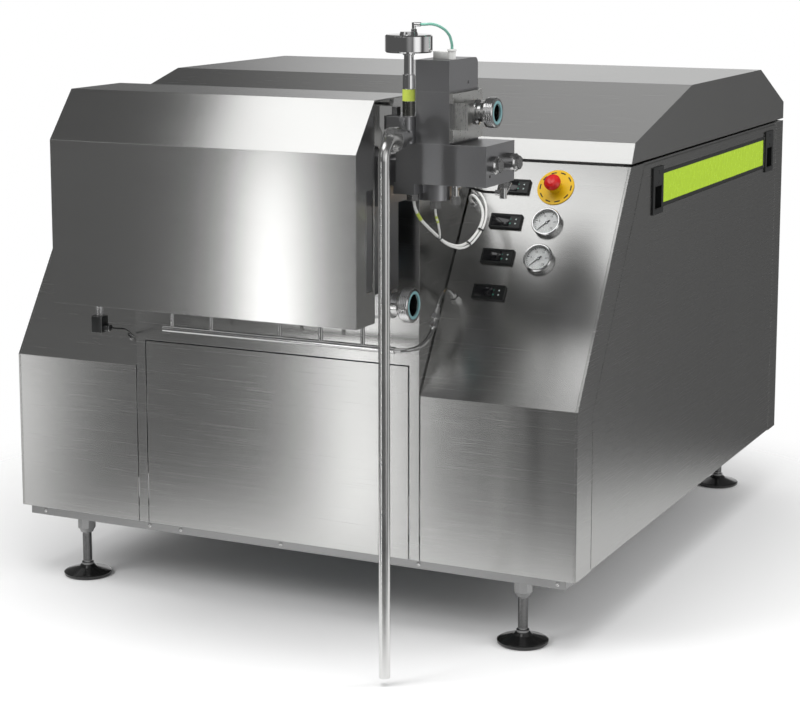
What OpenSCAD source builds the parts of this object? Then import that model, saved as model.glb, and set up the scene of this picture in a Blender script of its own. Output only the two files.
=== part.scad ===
// Three-plunger dairy homogenizer in a stainless cabinet.
// Millimetres, +Z up, the pump side faces -Y, the origin is on the floor under the middle.

/* [Cabinet] */
// Width over the side walls
cabinet_w = 1500; // [1400:10:1700]
// Depth from the front panel plane to the rear panel
cabinet_d = 1655; // [1600:5:1900]
// Thickness of the sheet metal
sheet_t = 3; // [2:0.5:4]
// Height of the panels' lower edge above the floor
panel_bottom = 180; // [160:1:220]
// Height of the bend between the upright and the slanted front
bend_z = 571; // [540:1:620]
// Height of the cabinet under the hood
slant_z = 1083; // [1075:1:1110]
// How far the slanted front runs back
slant_run = 330; // [300:1:360]

/* [Hood] */
// Open joint between the hood and the panels
hood_gap = 6; // [3:1:10]
// Height of the hood's front lip over the panels' top
hood_lip_h = 53; // [40:1:70]
// How far the lip leans back
hood_lip_run = 26; // [15:1:40]
// Rise from the lip to the flat top
hood_rise = 107; // [80:1:140]
// Run of the front slope
hood_front_run = 427; // [350:1:480]
// Run of the rear slope
hood_rear_run = 247; // [200:1:320]
// Width of the flange that the hood rests on
hood_flange = 40; // [30:1:60]

/* [Frame] */
// Side of the square base tube
beam = 60; // [50:1:70]
// How far the base tubes show below the panels
beam_drop = 20; // [10:1:30]
// Side of the posts and top rails
post = 40; // [30:1:50]
// Height of the drive bed beams
bed_h = 80; // [60:1:100]
// Distance between the two bed beams
bed_spread = 440; // [400:10:480]

/* [Feet] */
// Diameter of the foot pads
foot_d = 120; // [90:1:140]
// Foot centres from the cabinet's sides
foot_inset_x = 151; // [110:1:200]
// Foot centres from the cabinet's front and back
foot_inset_y = 62; // [62:1:90]
// Height of the foot pads
foot_h = 26; // [20:1:36]
// Diameter of the threaded stems
stem_d = 22; // [16:1:28]
// Diameter of the sockets under the frame
socket_d = 45; // [36:1:55]
// Height of the sockets
socket_h = 48; // [40:1:60]
// Clearance of the stem in its socket
stem_clear = 0.2; // [0.1:0.05:0.4]

/* [Side doors] */
// Width of the fixed strip in front of a door
door_strip_f = 95; // [80:1:120]
// Width of the fixed strip behind a door
door_strip_r = 72; // [50:1:100]
// Open joint around a door
door_gap = 3; // [2:0.5:5]
// Width of the ledge that a door closes on
door_ledge = 15; // [12:1:18]
// Depth of a door's folded edge
door_fold = 15; // [10:1:20]
// Clearance behind a closed door
door_clear = 0.3; // [0.2:0.1:0.5]
// Space between the door's upper front corner and the coloured strip
strip_front = 143.5; // [130:0.5:180]
// Space between the coloured strip and the door's rear edge
strip_rear = 129.5; // [110:0.5:180]
// Height of the coloured strip
strip_h = 71; // [50:1:90]
// Open border around the coloured strip
strip_border = 9; // [6:1:10]
// Middle of the coloured strip above the floor
strip_z = 1008; // [990:1:1010]
// Width of a finger grip
grip_w = 76; // [60:1:90]
// Height of a finger grip
grip_h = 114; // [90:1:118]
// Depth of a finger grip behind the door
grip_depth = 22; // [16:1:30]
// How far a finger grip stands proud of the door
grip_proud = 4; // [2:0.5:6]

/* [Pump bay] */
// Middle of the pump bay, right of the cabinet's middle
pump_x = -18; // [-40:1:10]
// Width of the pump bay
pump_w = 762; // [740:1:800]
// Width of the upright tabs beside the centre panel
tab_w = 25; // [15:1:35]
// Lower edge of the bay's front plate
plate_z = 640; // [600:1:680]
// Open joint between neighbouring panels
panel_gap = 3; // [2:0.5:5]

/* [Pump cover] */
// How far the cover is wider than the bay, each side
cover_over = 6; // [3:1:10]
// Height of the cover's lower edge
cover_bottom = 783; // [770:1:800]
// Reach of the cover in front of the panel plane
cover_reach = 330; // [310:1:360]
// Height of the fold in the cover's front
cover_fold_z = 1157; // [1120:1:1180]
// Height of the cover's top
cover_top_z = 1266; // [1255:1:1290]
// Depth of the cover's side walls
cover_side_d = 90; // [70:1:110]
// Rear edge of the cover's top, in front of the panel plane
cover_rear = 38; // [30:1:45]
// Width of the hand slots
slot_w = 33; // [25:1:40]
// Height of the hand slots
slot_h = 220; // [150:1:260]
// Middle of the hand slots above the floor
slot_z = 965; // [940:1:990]
// Strip of sheet left behind a hand slot
slot_edge = 8; // [5:1:12]
// Diameter of the hinge pins
hinge_pin_d = 12; // [10:1:14]
// Outside radius of the hinge eyes
hinge_r = 14; // [12:0.5:16]
// Clearance of a hinge pin in the radius
pin_clear = 0.05; // [0.02:0.01:0.1]

/* [Liquid end] */
// Length of the pump block
block_l = 700; // [680:1:720]
// Depth of the pump block
block_d = 180; // [160:1:200]
// Height of the pump block
block_h = 310; // [290:1:330]
// Underside of the pump block
block_z = 830; // [820:1:850]
// Rear face of the pump block, in front of the panel plane
block_rear = 45; // [40:1:60]
// Diameter of the plungers
plunger_d = 60; // [50:1:70]
// Height of the plunger axes
plunger_z = 935; // [925:1:945]
// Distance between neighbouring plungers
plunger_pitch = 170; // [160:1:185]
// Stroke of the plungers
stroke = 60; // [40:1:70]
// Running clearance of a plunger in the radius
plunger_clear = 0.05; // [0.02:0.01:0.1]
// Diameter of the crossheads
crosshead_d = 92; // [84:1:110]
// Diameter of the valve caps
cap_d = 104; // [90:1:120]
// Height of the suction manifold
manifold_h = 66; // [60:1:80]
// Depth of the suction manifold
manifold_d = 66; // [64:1:80]
// Bore of the inlet union
inlet_bore = 50; // [40:1:50]
// Outside diameter of the inlet union's thread
inlet_thread_d = 78; // [70:1:85]
// Length of the inlet union
inlet_l = 55; // [45:1:70]

/* [Valve group] */
// Left end of the lower valve block, right of the pump bay
valve_gap = 32; // [29:1:37]
// Length of the lower valve block
lower_l = 212; // [200:1:240]
// Depth of the valve blocks
valve_d = 156; // [140:1:170]
// Front face of the valve blocks, in front of the panel plane
valve_front = 190; // [180:1:200]
// Underside of the lower valve block
lower_z = 1085; // [1075:1:1095]
// Height of the lower valve block
lower_h = 88; // [80:1:100]
// Left face of the tall blocks, right of the lower block's left end
tall_off = 47; // [47:1:60]
// Width of the tall blocks
tall_w = 79; // [70:1:90]
// Height of the middle block
middle_h = 112; // [100:1:125]
// Height of the upper block
upper_h = 67; // [55:1:80]
// Rounding of the upper block's rear edge
upper_round = 14; // [8:1:20]
// How far the outlet block stands out from the tall blocks
outlet_l = 38; // [30:1:45]
// Bore of the outlet union
outlet_bore = 38; // [30:1:40]
// Outside diameter of the outlet union's thread
outlet_thread_d = 65; // [58:1:72]
// Length of the outlet union
union_l = 48; // [40:1:60]
// Middle of the outlet, behind the valve blocks' front face
outlet_off = 60; // [58:1:90]
// Diameter of the relief pipe
pipe_d = 25; // [22:1:28]
// Wall of the relief pipe
pipe_wall = 1.5; // [1:0.25:2]
// Open end of the relief pipe above the floor
pipe_end_z = 18; // [8:1:60]
// Relief pipe, right of the valve's left end
pipe_off = 36; // [34:1:38]
// Relief pipe, in front of the panel plane
pipe_reach = 322; // [316:1:330]
// Bend radius of the relief pipe
pipe_bend = 40; // [36:1:48]
// Height of the relief pipe's outlet
relief_z = 1188; // [1186:1:1190]
// Diameter of the relief union's nut
relief_nut_d = 54; // [48:1:58]
// Length of the relief union's nut
relief_nut_l = 20; // [16:1:24]
// Diameter of the valve spindle's sleeve
sleeve_d = 26; // [24:1:30]
// Length of the valve spindle's sleeve
sleeve_l = 90; // [70:1:110]
// Diameter of the spindle above the sleeve
spindle_d = 21; // [16:1:22]
// Length of the spindle above the sleeve
spindle_l = 46; // [36:1:60]
// Diameter of the air cylinder
drum_d = 102; // [80:1:102]
// Height of the air cylinder
drum_h = 38; // [30:1:48]

/* [Control panel] */
// Instruments in the left row, right of the pump bay
controller_off = 111; // [97:1:127]
// Width of a controller's face
controller_w = 78; // [70:1:84]
// Height of a controller's face
controller_h = 36; // [32:1:42]
// Depth of a controller behind the panel
controller_depth = 58; // [40:1:70]
// Distance of the lowest controller from the bend, along the slope
controller_s = 268; // [255:1:280]
// Distance between the controllers along the slope
controller_pitch = 91; // [80:1:93]
// Gauges and stop button, right of the pump bay
gauge_off = 214; // [202:1:227]
// Diameter of a gauge's rim
gauge_d = 70; // [60:1:76]
// Height of a gauge's rim over the panel
gauge_h = 15; // [12:1:20]
// Distance of the lower gauge from the bend, along the slope
gauge_s = 360; // [350:1:370]
// Distance between the gauges along the slope
gauge_pitch = 92; // [84:1:96]
// Diameter of the stop button's disc
estop_d = 90; // [70:1:92]
// Distance of the stop button from the bend, along the slope
estop_s = 546; // [540:1:552]
// Diameter of the stop button's head
mushroom_d = 40; // [32:1:46]
// Travel of the stop button
estop_travel = 6; // [4:0.5:8]

/* [Drive] */
// Height of the motor's axis over the bed
motor_h = 225; // [200:5:240]
// Motor axis behind the panel plane
motor_y = 1180; // [1150:5:1220]
// Diameter of the motor's frame
motor_d = 360; // [300:5:380]
// Length of the motor's frame
motor_l = 520; // [480:5:540]
// Diameter of the motor's pulley
small_pulley_d = 200; // [160:2:240]
// Diameter of the driven pulley
large_pulley_d = 460; // [400:2:480]
// Width of one belt
belt_w = 17; // [13:1:18]
// Thickness of the belts
belt_t = 14; // [10:1:15]
// Number of belts
belts = 4; // [2:1:4]
// Distance between neighbouring belts
belt_pitch = 23; // [22:1:26]
// Clearance of a belt in its groove
belt_clear = 0.3; // [0.2:0.1:0.5]
// Middle of the belts, left of the cabinet's middle
belt_x = 520; // [510:1:560]
// Shaft of the crankcase, behind the panel plane
input_y = 430; // [420:5:460]
// Shaft of the crankcase above the floor
input_z = 640; // [620:5:660]
// Diameter of both drive shafts
shaft_d = 56; // [45:1:60]
// Width of the crankcase
case_w = 580; // [540:2:600]
// Front face of the crankcase behind the panel plane
case_front = 40; // [30:1:50]
// Depth of the crankcase
case_d = 560; // [520:5:600]

/* [Hidden] */
$fn = 64;
// Front panel plane: the origin stays under the middle of the whole depth
weld_d = pipe_d + 1;
reach_total = max(cover_reach, pipe_reach + weld_d / 2);
front_y = (reach_total - cabinet_d) / 2;
half_w = cabinet_w / 2;
inner_w = half_w - 2 * sheet_t;
frame_w = half_w - sheet_t - max(door_fold, grip_depth - sheet_t) - 3;
beam_z = panel_bottom - beam_drop;
bed_z = beam_z + beam + bed_h;
slant_angle = atan2(slant_z - bend_z, slant_run);
side_outline = [[0, panel_bottom], [cabinet_d, panel_bottom], [cabinet_d, slant_z],
    [slant_run, slant_z], [0, bend_z]];
door_hole = [[door_strip_f, panel_bottom], [cabinet_d - door_strip_r, panel_bottom],
    [cabinet_d - door_strip_r, slant_z - sheet_t], [slant_run + door_strip_f, slant_z - sheet_t],
    [door_strip_f, bend_z - 23]];
door_out = half_w - sheet_t + door_clear;
lip_y = slant_run + hood_lip_run;
lip_z = slant_z + hood_lip_h;
ridge_z = lip_z + hood_rise;
hood_z = slant_z + hood_gap;
hood_front = slant_run + hood_lip_run * hood_gap / hood_lip_h;
hood_outline = [[hood_front, hood_z], [cabinet_d, hood_z], [cabinet_d, lip_z],
    [cabinet_d - hood_rear_run, ridge_z], [lip_y + hood_front_run, ridge_z], [lip_y, lip_z]];
strip_start = slant_run + door_strip_f + strip_front;
strip_end = cabinet_d - door_strip_r - strip_rear;
strip_l = strip_end - strip_start;
strip_y = (strip_start + strip_end) / 2;
strip_hole_l = strip_l + 2 * strip_border;
strip_hole_h = strip_h + 2 * strip_border;
strip_back = 4;
grip_rim = 8;
grip_lap = 4;
grip_off = strip_hole_l / 2 + grip_w / 2 + 2;
bay_l = pump_x - pump_w / 2;
bay_r = pump_x + pump_w / 2;
valve_x = bay_r + valve_gap;
controller_x = bay_r + controller_off;
gauge_x = bay_r + gauge_off;
cover_l = bay_l - cover_over;
cover_r = bay_r + cover_over;
cover_top_y = cover_reach - cover_side_d;
hinge_y = -cover_rear - 8;
hinge_z = cover_top_z - sheet_t - hinge_r - 1;
hinge_x = pump_w / 2 - 90;
hinge_w = 12;
hinge_len = 36;
plunger_i = [-1, 0, 1];
plunger_bore_end = -block_rear - block_d + 50;
gland_d = 100;
gland_l = 30;
stay_x = block_l / 2 - 60;
stay_d = 36;
stay_low = plunger_z - 70;
stay_high = plunger_z + 80;
block_top = block_z + block_h;
block_r = pump_x + block_l / 2;
manifold_y = -block_rear - manifold_d / 2;
manifold_z = block_z - manifold_h / 2;
tall_x = valve_x + tall_off;
tall_r = tall_x + tall_w;
lower_r = valve_x + lower_l;
middle_z = lower_z + lower_h;
upper_z = middle_z + middle_h;
valve_y = -valve_front + valve_d / 2;
outlet_y = -valve_front + outlet_off;
outlet_z = middle_z + middle_h / 2 + 11;
outlet_x = tall_r + outlet_l;
flange_h = 24;
boss_h = 41;
relief_x = valve_x + pipe_off;
relief_body_h = 58;
relief_seam = middle_z + relief_body_h / 2;
relief_front = -valve_front - 25;
relief_rear = relief_front + 125;
spindle_x = valve_x + 31;
spindle_y = -valve_front;
spindle_z = middle_z + relief_body_h;
drum_z = spindle_z + sleeve_l + spindle_l;
motor_z = bed_z + motor_h;
groove_depth = belt_t - 2;
shaft_clear = 0.05;
pulley_w = (belts - 1) * belt_pitch + belt_w + 14;
needle_l = gauge_d * 0.36;
gauge_zero = 225;

// Outline tools: corners moved out along both edges' normals, on counter-clockwise [y, z] points
function edge_normal(a, b) = let (d = b - a) [d[1], -d[0]] / norm(d);
function moved_corner(p, q, r, d) =
    let (n1 = edge_normal(p, q), n2 = edge_normal(q, r)) q + (n1 + n2) * d / (1 + n1 * n2);
function grown(pts, d) = let (n = len(pts))
    [for (i = [0 : n - 1]) moved_corner(pts[(i + n - 1) % n], pts[i], pts[(i + 1) % n], d)];

// Cabinet frame: y = 0 on the front panel plane, going back
module from_front() translate([0, front_y, 0]) children();

// Side-view outline in [y, z], drawn out from x0 to x1
module extrude_x(x0, x1) translate([x0, 0, 0]) rotate([90, 0, 90]) linear_extrude(x1 - x0) children();

// Box from one corner to the other
module block(low, high) translate(low) cube(high - low);

// Cylinder along X or Y from a start point
module rod_x(start, d, l) translate(start) rotate([0, 90, 0]) cylinder(d = d, h = l);
module rod_y(start, d, l) translate(start) rotate([-90, 0, 0]) cylinder(d = d, h = l);

// Hexagon head along Z, given across the flats
module hex(af, h) cylinder(d = af / cos(30), h = h, $fn = 6);

// Place on the slanted panel: local Z points out of the panel, local Y up the slope
module on_slant(x, s) translate([x, 0, bend_z]) rotate([slant_angle, 0, 0]) translate([0, s, 0]) children();

// Point on the slanted panel, and out from it
function slant_point(x, s, out) = [x, s * cos(slant_angle) - out * sin(slant_angle),
    bend_z + s * sin(slant_angle) + out * cos(slant_angle)];

// Tube swept along route points, one ring at each point
function along(pts, i) = let (n = len(pts), a = pts[max(i - 1, 0)], b = pts[min(i + 1, n - 1)]) (b - a) / norm(b - a);
function across(t) = let (u = abs(t[2]) > 0.95 ? [1, 0, 0] : [0, 0, 1], c = cross(t, u)) c / norm(c);
function carried(v, t) = let (c = v - t * (v * t)) c / norm(c);
function frames(pts, i) = i == 0 ? across(along(pts, 0)) : carried(frames(pts, i - 1), along(pts, i));
module swept(pts, d, sides) {
    n = len(pts);
    rings = [for (i = [0 : n - 1]) let (t = along(pts, i), u = frames(pts, i), v = cross(t, u))
        for (k = [0 : sides - 1]) pts[i] + d / 2 * (u * cos(360 * k / sides) + v * sin(360 * k / sides))];
    sides_faces = [for (i = [0 : n - 2]) for (k = [0 : sides - 1])
        [i * sides + k, (i + 1) * sides + k, (i + 1) * sides + (k + 1) % sides, i * sides + (k + 1) % sides]];
    start_face = [for (k = [0 : sides - 1]) k];
    end_face = [for (k = [sides - 1 : -1 : 0]) (n - 1) * sides + k];
    polyhedron(rings, concat([start_face, end_face], sides_faces), convexity = 6);
}

// Both feet rows, front and back
module each_foot() for (x = [-1, 1], y = [foot_inset_y, cabinet_d - foot_inset_y])
    translate([x * (half_w - foot_inset_x), y, 0]) children();

module machine_frame() color("dimgray") from_front() {
    rear = cabinet_d - sheet_t;
    front = sheet_t;
    low = beam_z;
    top = hood_z;
    rail_y = slant_run + sheet_t + 12;
    difference() {
        union() {
            for (s = [-1, 1]) {
                xa = s > 0 ? frame_w - beam : -frame_w;
                xp = s > 0 ? frame_w - post : -frame_w;
                xb = pump_x + s * bed_spread / 2 - bed_h / 2;
                block([xa, front, low], [xa + beam, rear, low + beam]);
                for (y = [rail_y, rear - post]) block([xp, y, low + beam], [xp + post, y + post, top - post]);
                block([xp, rail_y, top - post], [xp + post, rear, top]);
                block([xb, front + beam / 2, low + beam], [xb + bed_h, rear, bed_z]);
            }
            for (y = [front, (front + rear - beam) / 2, rear - beam])
                block([beam - frame_w, y, low], [frame_w - beam, y + beam, low + beam]);
            for (y = [rail_y, rear - post])
                block([post - frame_w, y, top - post], [frame_w - post, y + post, top]);
            each_foot() translate([0, 0, low - socket_h]) {
                translate([0, 0, 10]) cylinder(d = socket_d, h = socket_h - 10, $fn = 8);
                cylinder(d1 = socket_d * 0.7, d2 = socket_d * 0.9, h = 10);
                translate([0, 0, socket_h - 9]) cylinder(d = socket_d + 12, h = 9, $fn = 8);
            }
        }
        each_foot() translate([-socket_d, -5, low - socket_h + 16]) cube([socket_d, 10, socket_h - 30]);
        each_foot() translate([0, 0, low - socket_h - 1]) cylinder(d = stem_d + 2 * stem_clear, h = socket_h + 1);
    }
}

module foot_pads() color([0.06, 0.06, 0.06]) from_front() each_foot()
    rotate_extrude() polygon([[0, 0], [foot_d / 2 - 3, 0], [foot_d / 2, 3], [foot_d / 2, 8], [foot_d / 2 - 4, 10],
        [stem_d / 2 + 12, foot_h - 6], [stem_d / 2 + 6, foot_h], [0, foot_h]]);

module foot_stems() color("silver") from_front() each_foot() {
    stem_l = beam_z - foot_h - 6;
    translate([0, 0, foot_h]) cylinder(d = stem_d, h = stem_l);
    translate([0, 0, foot_h]) cylinder(d = stem_d + 8, h = 6);
}

// Side wall: strips before and behind the door, on a ledge that the door closes on
module side_wall() {
    extrude_x(half_w - 2 * sheet_t, half_w - sheet_t) difference() {
        polygon(side_outline);
        polygon(grown(door_hole, -door_ledge));
    }
    extrude_x(half_w - sheet_t, half_w) difference() {
        polygon(side_outline);
        polygon(door_hole);
        translate([door_strip_f, panel_bottom - 1]) square([cabinet_d - door_strip_f - door_strip_r, 2]);
        translate([slant_run + door_strip_f, slant_z - 2 * sheet_t])
            square([cabinet_d - slant_run - door_strip_f - door_strip_r, 3 * sheet_t]);
    }
}
module left_side_wall() color("lightgray") from_front() mirror([1, 0, 0]) side_wall();
module right_side_wall() color("lightgray") from_front() side_wall();

// Front panel: one sheet, upright below the bend and slanted above it
front_line = [[0, panel_bottom], [0, bend_z], [slant_run, slant_z]];
front_band = [[0, panel_bottom], [sheet_t, panel_bottom],
    [sheet_t, bend_z - sheet_t * tan((90 - slant_angle) / 2)],
    [slant_run + sheet_t * sin(slant_angle), slant_z - sheet_t * cos(slant_angle)],
    [slant_run, slant_z], [0, bend_z]];
plug_place = [bay_l - 41, 74];
plug_hole = 8;
module left_front_panel() color("gainsboro") from_front() difference() {
    extrude_x(-inner_w, bay_l - panel_gap) polygon(front_band);
    on_slant(plug_place[0], plug_place[1]) translate([0, 0, -30]) cylinder(d = plug_hole, h = 60);
}

controller_rows = [for (i = [0 : 3]) controller_s + i * controller_pitch];
gauge_rows = [gauge_s, gauge_s + gauge_pitch];
gland_places = [[bay_r + 21, 488], [bay_r + 21, 512]];
gland_hole = 12;
hose_place = [bay_r + 29, 249];
hose_hole = 16;
estop_hole = 22;
module right_front_panel() color("gainsboro") from_front() difference() {
    extrude_x(bay_r + panel_gap, inner_w) polygon(front_band);
    for (s = controller_rows) on_slant(controller_x, s)
        translate([-controller_w / 2 + 4, -controller_h / 2 + 4, -sheet_t - 20])
            cube([controller_w - 8, controller_h - 8, sheet_t + 40]);
    for (s = gauge_rows) on_slant(gauge_x, s) translate([0, 0, -30]) cylinder(d = gauge_d - 8, h = 60);
    on_slant(gauge_x, estop_s) translate([0, 0, -30]) cylinder(d = estop_hole, h = 60);
    for (g = gland_places) on_slant(g[0], g[1]) translate([0, 0, -30]) cylinder(d = gland_hole, h = 60);
    on_slant(hose_place[0], hose_place[1]) translate([0, 0, -30]) cylinder(d = hose_hole, h = 60);
}

module centre_front_panel() color("whitesmoke") from_front() {
    low = [bay_l + tab_w + panel_gap, 0, panel_bottom];
    high = [bay_r - tab_w - panel_gap, sheet_t, plate_z - panel_gap];
    block(low, high);
    block([low[0], sheet_t, high[2] - sheet_t], [high[0], sheet_t + 20, high[2]]);
}

// Pump bay: front plate with its tabs, closed sides and top
module pump_box() color("silver") from_front() difference() {
    union() {
        block([bay_l, 0, plate_z], [bay_r, sheet_t, slant_z]);
        for (x = [bay_l, bay_r - tab_w]) block([x, 0, panel_bottom], [x + tab_w, sheet_t, plate_z]);
        for (x = [bay_l, bay_r - sheet_t]) extrude_x(x, x + sheet_t)
            polygon([[0, bend_z - 20], [60, bend_z - 20], [slant_run, slant_z - 60], [slant_run, slant_z], [0, slant_z]]);
        block([bay_l, 0, slant_z - sheet_t], [bay_r, slant_run, slant_z]);
    }
    for (i = plunger_i) rod_y([pump_x + i * plunger_pitch, -1, plunger_z], gland_d + 6, sheet_t + 2);
    for (x = [-1, 1], z = [stay_low, stay_high]) rod_y([pump_x + x * stay_x, -1, z], stay_d + 2, sheet_t + 2);
}

module hood() color("gainsboro") from_front() {
    difference() {
        extrude_x(-half_w, half_w) polygon(hood_outline);
        extrude_x(-half_w + sheet_t, half_w - sheet_t)
            polygon(concat([[hood_front + sheet_t, hood_z - 1], [cabinet_d - sheet_t, hood_z - 1]],
                [for (i = [2 : 5]) grown(hood_outline, -sheet_t)[i]]));
    }
    difference() {
        block([-half_w + sheet_t, hood_front + sheet_t, hood_z], [half_w - sheet_t, cabinet_d - sheet_t, hood_z + sheet_t]);
        block([-half_w + sheet_t + hood_flange, hood_front + sheet_t + hood_flange, hood_z - 1],
            [half_w - sheet_t - hood_flange, cabinet_d - sheet_t - hood_flange, hood_z + sheet_t + 1]);
    }
}

module rear_panel() color("gainsboro") from_front() difference() {
    block([-inner_w, cabinet_d - sheet_t, panel_bottom], [inner_w, cabinet_d, slant_z]);
    for (x = [-1, 1], i = [0 : 9])
        translate([x * 300 - 140, cabinet_d - sheet_t - 1, panel_bottom + 170 + i * 34]) cube([280, sheet_t + 2, 12]);
}

// Crankcase: sump, round crank chamber, crosshead guides and the stays that hold the pump block
module crankcase() color([0.35, 0.42, 0.45]) from_front() {
    xl = pump_x - case_w / 2;
    xr = pump_x + case_w / 2;
    rear = case_front + case_d;
    chamber_r = 220;
    chamber_y = case_front + 325;
    chamber_z = plunger_z - 120;
    difference() {
        union() {
            extrude_x(xl, xr) polygon([[case_front + 70, bed_z + 30], [rear, bed_z + 30], [rear, chamber_z],
                [chamber_y, chamber_z + chamber_r], [case_front + 190, plunger_z + 95], [case_front, plunger_z + 95],
                [case_front, plunger_z - 95]]);
            rod_x([xl, chamber_y, chamber_z], 2 * chamber_r, case_w);
            block([xl - 40, case_front + 60, bed_z], [xr + 40, rear + 10, bed_z + 30]);
            for (x = [xl + 90, pump_x, xr - 90])
                extrude_x(x - 8, x + 8) polygon([[rear, bed_z + 30], [rear + 10, bed_z + 30], [rear, chamber_z]]);
            rod_x([xl - 32, input_y, input_z], shaft_d + 120, 40);
            rod_x([xr - 8, input_y, input_z], shaft_d + 100, 26);
            for (x = [-1, 1], z = [stay_low, stay_high])
                rod_y([pump_x + x * stay_x, -block_rear, z], stay_d, case_front + block_rear + 60);
            for (x = [-1, 1], z = [stay_low, stay_high])
                rod_y([pump_x + x * stay_x, case_front, z], stay_d + 40, 60);
            for (x = [-1, 1]) block([pump_x + x * (stay_x - 30) - 60, case_front, stay_low - 30],
                [pump_x + x * (stay_x - 30) + 60, case_front + 60, stay_high + 30]);
        }
        for (i = plunger_i) rod_y([pump_x + i * plunger_pitch, case_front - 1, plunger_z],
            crosshead_d + 2 * plunger_clear, 110 + stroke + 60);
        rod_x([xl - 40, input_y, input_z], shaft_d + 2 * shaft_clear, 140);
    }
}

// One plunger at its crank position, with the crosshead that guides it
module plunger(i) translate([pump_x + i * plunger_pitch, stroke / 2 * sin(120 * i), 0]) {
    head_y = case_front + 20 + stroke / 2;
    rod_y([0, plunger_bore_end + stroke / 2 + 20, plunger_z], plunger_d, head_y - plunger_bore_end - stroke / 2 - 20);
    rod_y([0, head_y, plunger_z], crosshead_d, 90);
}
module left_plunger() color("silver") from_front() plunger(-1);
module centre_plunger() color("silver") from_front() plunger(0);
module right_plunger() color("silver") from_front() plunger(1);

// Motor: ribbed frame on feet with end shields, fan cowl and terminal box
motor_right = pump_x + 40 + motor_l / 2;
motor_left = motor_right - motor_l;
module drive_motor() color([0.25, 0.33, 0.42]) from_front() difference() {
    union() {
        rod_x([motor_left, motor_y, motor_z], motor_d, motor_l);
        rod_x([motor_left - 24, motor_y, motor_z], motor_d * 0.55, 26);
        rod_x([motor_right - 1, motor_y, motor_z], motor_d + 26, 90);
        for (a = [0 : 12 : 348])
            translate([motor_left + 30, motor_y, motor_z]) rotate([a, 0, 0])
                translate([0, -3, motor_d / 2 - 6]) cube([motor_l - 60, 6, 24]);
        for (x = [-1, 1]) block([pump_x + x * bed_spread / 2 - bed_h / 2 + 6, motor_y - 200, bed_z],
            [pump_x + x * bed_spread / 2 + bed_h / 2 - 6, motor_y + 200, bed_z + 22]);
        for (x = [-1, 1], y = [-1, 1]) block([pump_x + x * bed_spread / 2 - 24, motor_y + y * 130 - 40, bed_z + 20],
            [pump_x + x * bed_spread / 2 + 24, motor_y + y * 130 + 40, motor_z - 70]);
        block([pump_x - 60, motor_y - 90, motor_z + motor_d / 2 - 40], [pump_x + 80, motor_y + 90, motor_z + motor_d / 2 + 95]);
    }
    rod_x([motor_left - 30, motor_y, motor_z], shaft_d + 2 * shaft_clear, 150);
    for (r = [60 : 40 : 140]) translate([motor_right + 80, motor_y, motor_z]) rotate([0, 90, 0])
        difference() {
            cylinder(r = r + 12, h = 20);
            translate([0, 0, -1]) cylinder(r = r, h = 22);
        }
}

// Grooved pulley along X, centred on the belts
module pulley(d, holes) difference() {
    rod_x([-pulley_w / 2, 0, 0], d, pulley_w);
    for (i = [0 : belts - 1]) translate([(i - (belts - 1) / 2) * belt_pitch - belt_w / 2 - belt_clear, 0, 0])
        difference() {
            rod_x([0, 0, 0], d + 2, belt_w + 2 * belt_clear);
            rod_x([-1, 0, 0], d - 2 * groove_depth, belt_w + 2 * belt_clear + 2);
        }
    for (s = [-1, 1]) if (holes > 0) translate([s * (pulley_w / 2 + 8), 0, 0]) difference() {
        rod_x([-24, 0, 0], d - 2 * groove_depth - 36, 48);
        rod_x([-25, 0, 0], shaft_d + 70, 50);
    }
    if (holes > 0) for (a = [0 : 360 / holes : 359]) rotate([a, 0, 0])
        rod_x([-pulley_w, 0, d * 0.29], d * 0.16, 2 * pulley_w);
}

module motor_shaft() color("slategray") from_front() translate([0, motor_y, motor_z]) {
    rod_x([-belt_x - pulley_w / 2 - 12, 0, 0], shaft_d, motor_left + 60 + belt_x + pulley_w / 2 + 12);
    translate([-belt_x, 0, 0]) pulley(small_pulley_d, 0);
}

module input_shaft() color("slategray") from_front() translate([0, input_y, input_z]) {
    rod_x([-belt_x - pulley_w / 2 - 12, 0, 0], shaft_d, pump_x - case_w / 2 + 80 + belt_x + pulley_w / 2 + 12);
    translate([-belt_x, 0, 0]) pulley(large_pulley_d, 6);
}

// Belt outline around two pulleys: an arc on each, joined by the straight runs
function arc(centre, r, from, to) =
    [for (i = [0 : 32]) let (a = from + (to - from) * i / 32) centre + r * [cos(a), sin(a)]];
module belt_round(ra, rb) {
    a = [input_y, input_z];
    b = [motor_y, motor_z];
    d = b - a;
    turn = atan2(d[1], d[0]);
    lean = acos((ra - rb) / norm(d));
    polygon(concat(arc(a, ra, turn + lean, turn + 360 - lean), arc(b, rb, turn - lean, turn + lean)));
}
module drive_belts() color([0.08, 0.08, 0.08]) from_front() {
    in_a = (large_pulley_d / 2 - groove_depth + belt_clear) / cos(4);
    in_b = (small_pulley_d / 2 - groove_depth + belt_clear) / cos(4);
    for (i = [0 : belts - 1]) {
        x = -belt_x + (i - (belts - 1) / 2) * belt_pitch - belt_w / 2;
        extrude_x(x, x + belt_w) difference() {
            belt_round(in_a + belt_t, in_b + belt_t);
            belt_round(in_a, in_b);
        }
    }
}

// Pump block: chamfered forging with plunger chambers
module pump_block() color("darkgray") from_front() difference() {
    front = -block_rear - block_d;
    c = 14;
    extrude_x(pump_x - block_l / 2, block_r)
        polygon([[front, block_z + c], [front + c, block_z], [-block_rear, block_z], [-block_rear, block_top],
            [front + c, block_top], [front, block_top - c]]);
    for (i = plunger_i) {
        rod_y([pump_x + i * plunger_pitch, plunger_bore_end, plunger_z], plunger_d + 12, block_d);
        rod_y([pump_x + i * plunger_pitch, front - 1, plunger_z], cap_d * 0.6, 40);
    }
}

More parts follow.
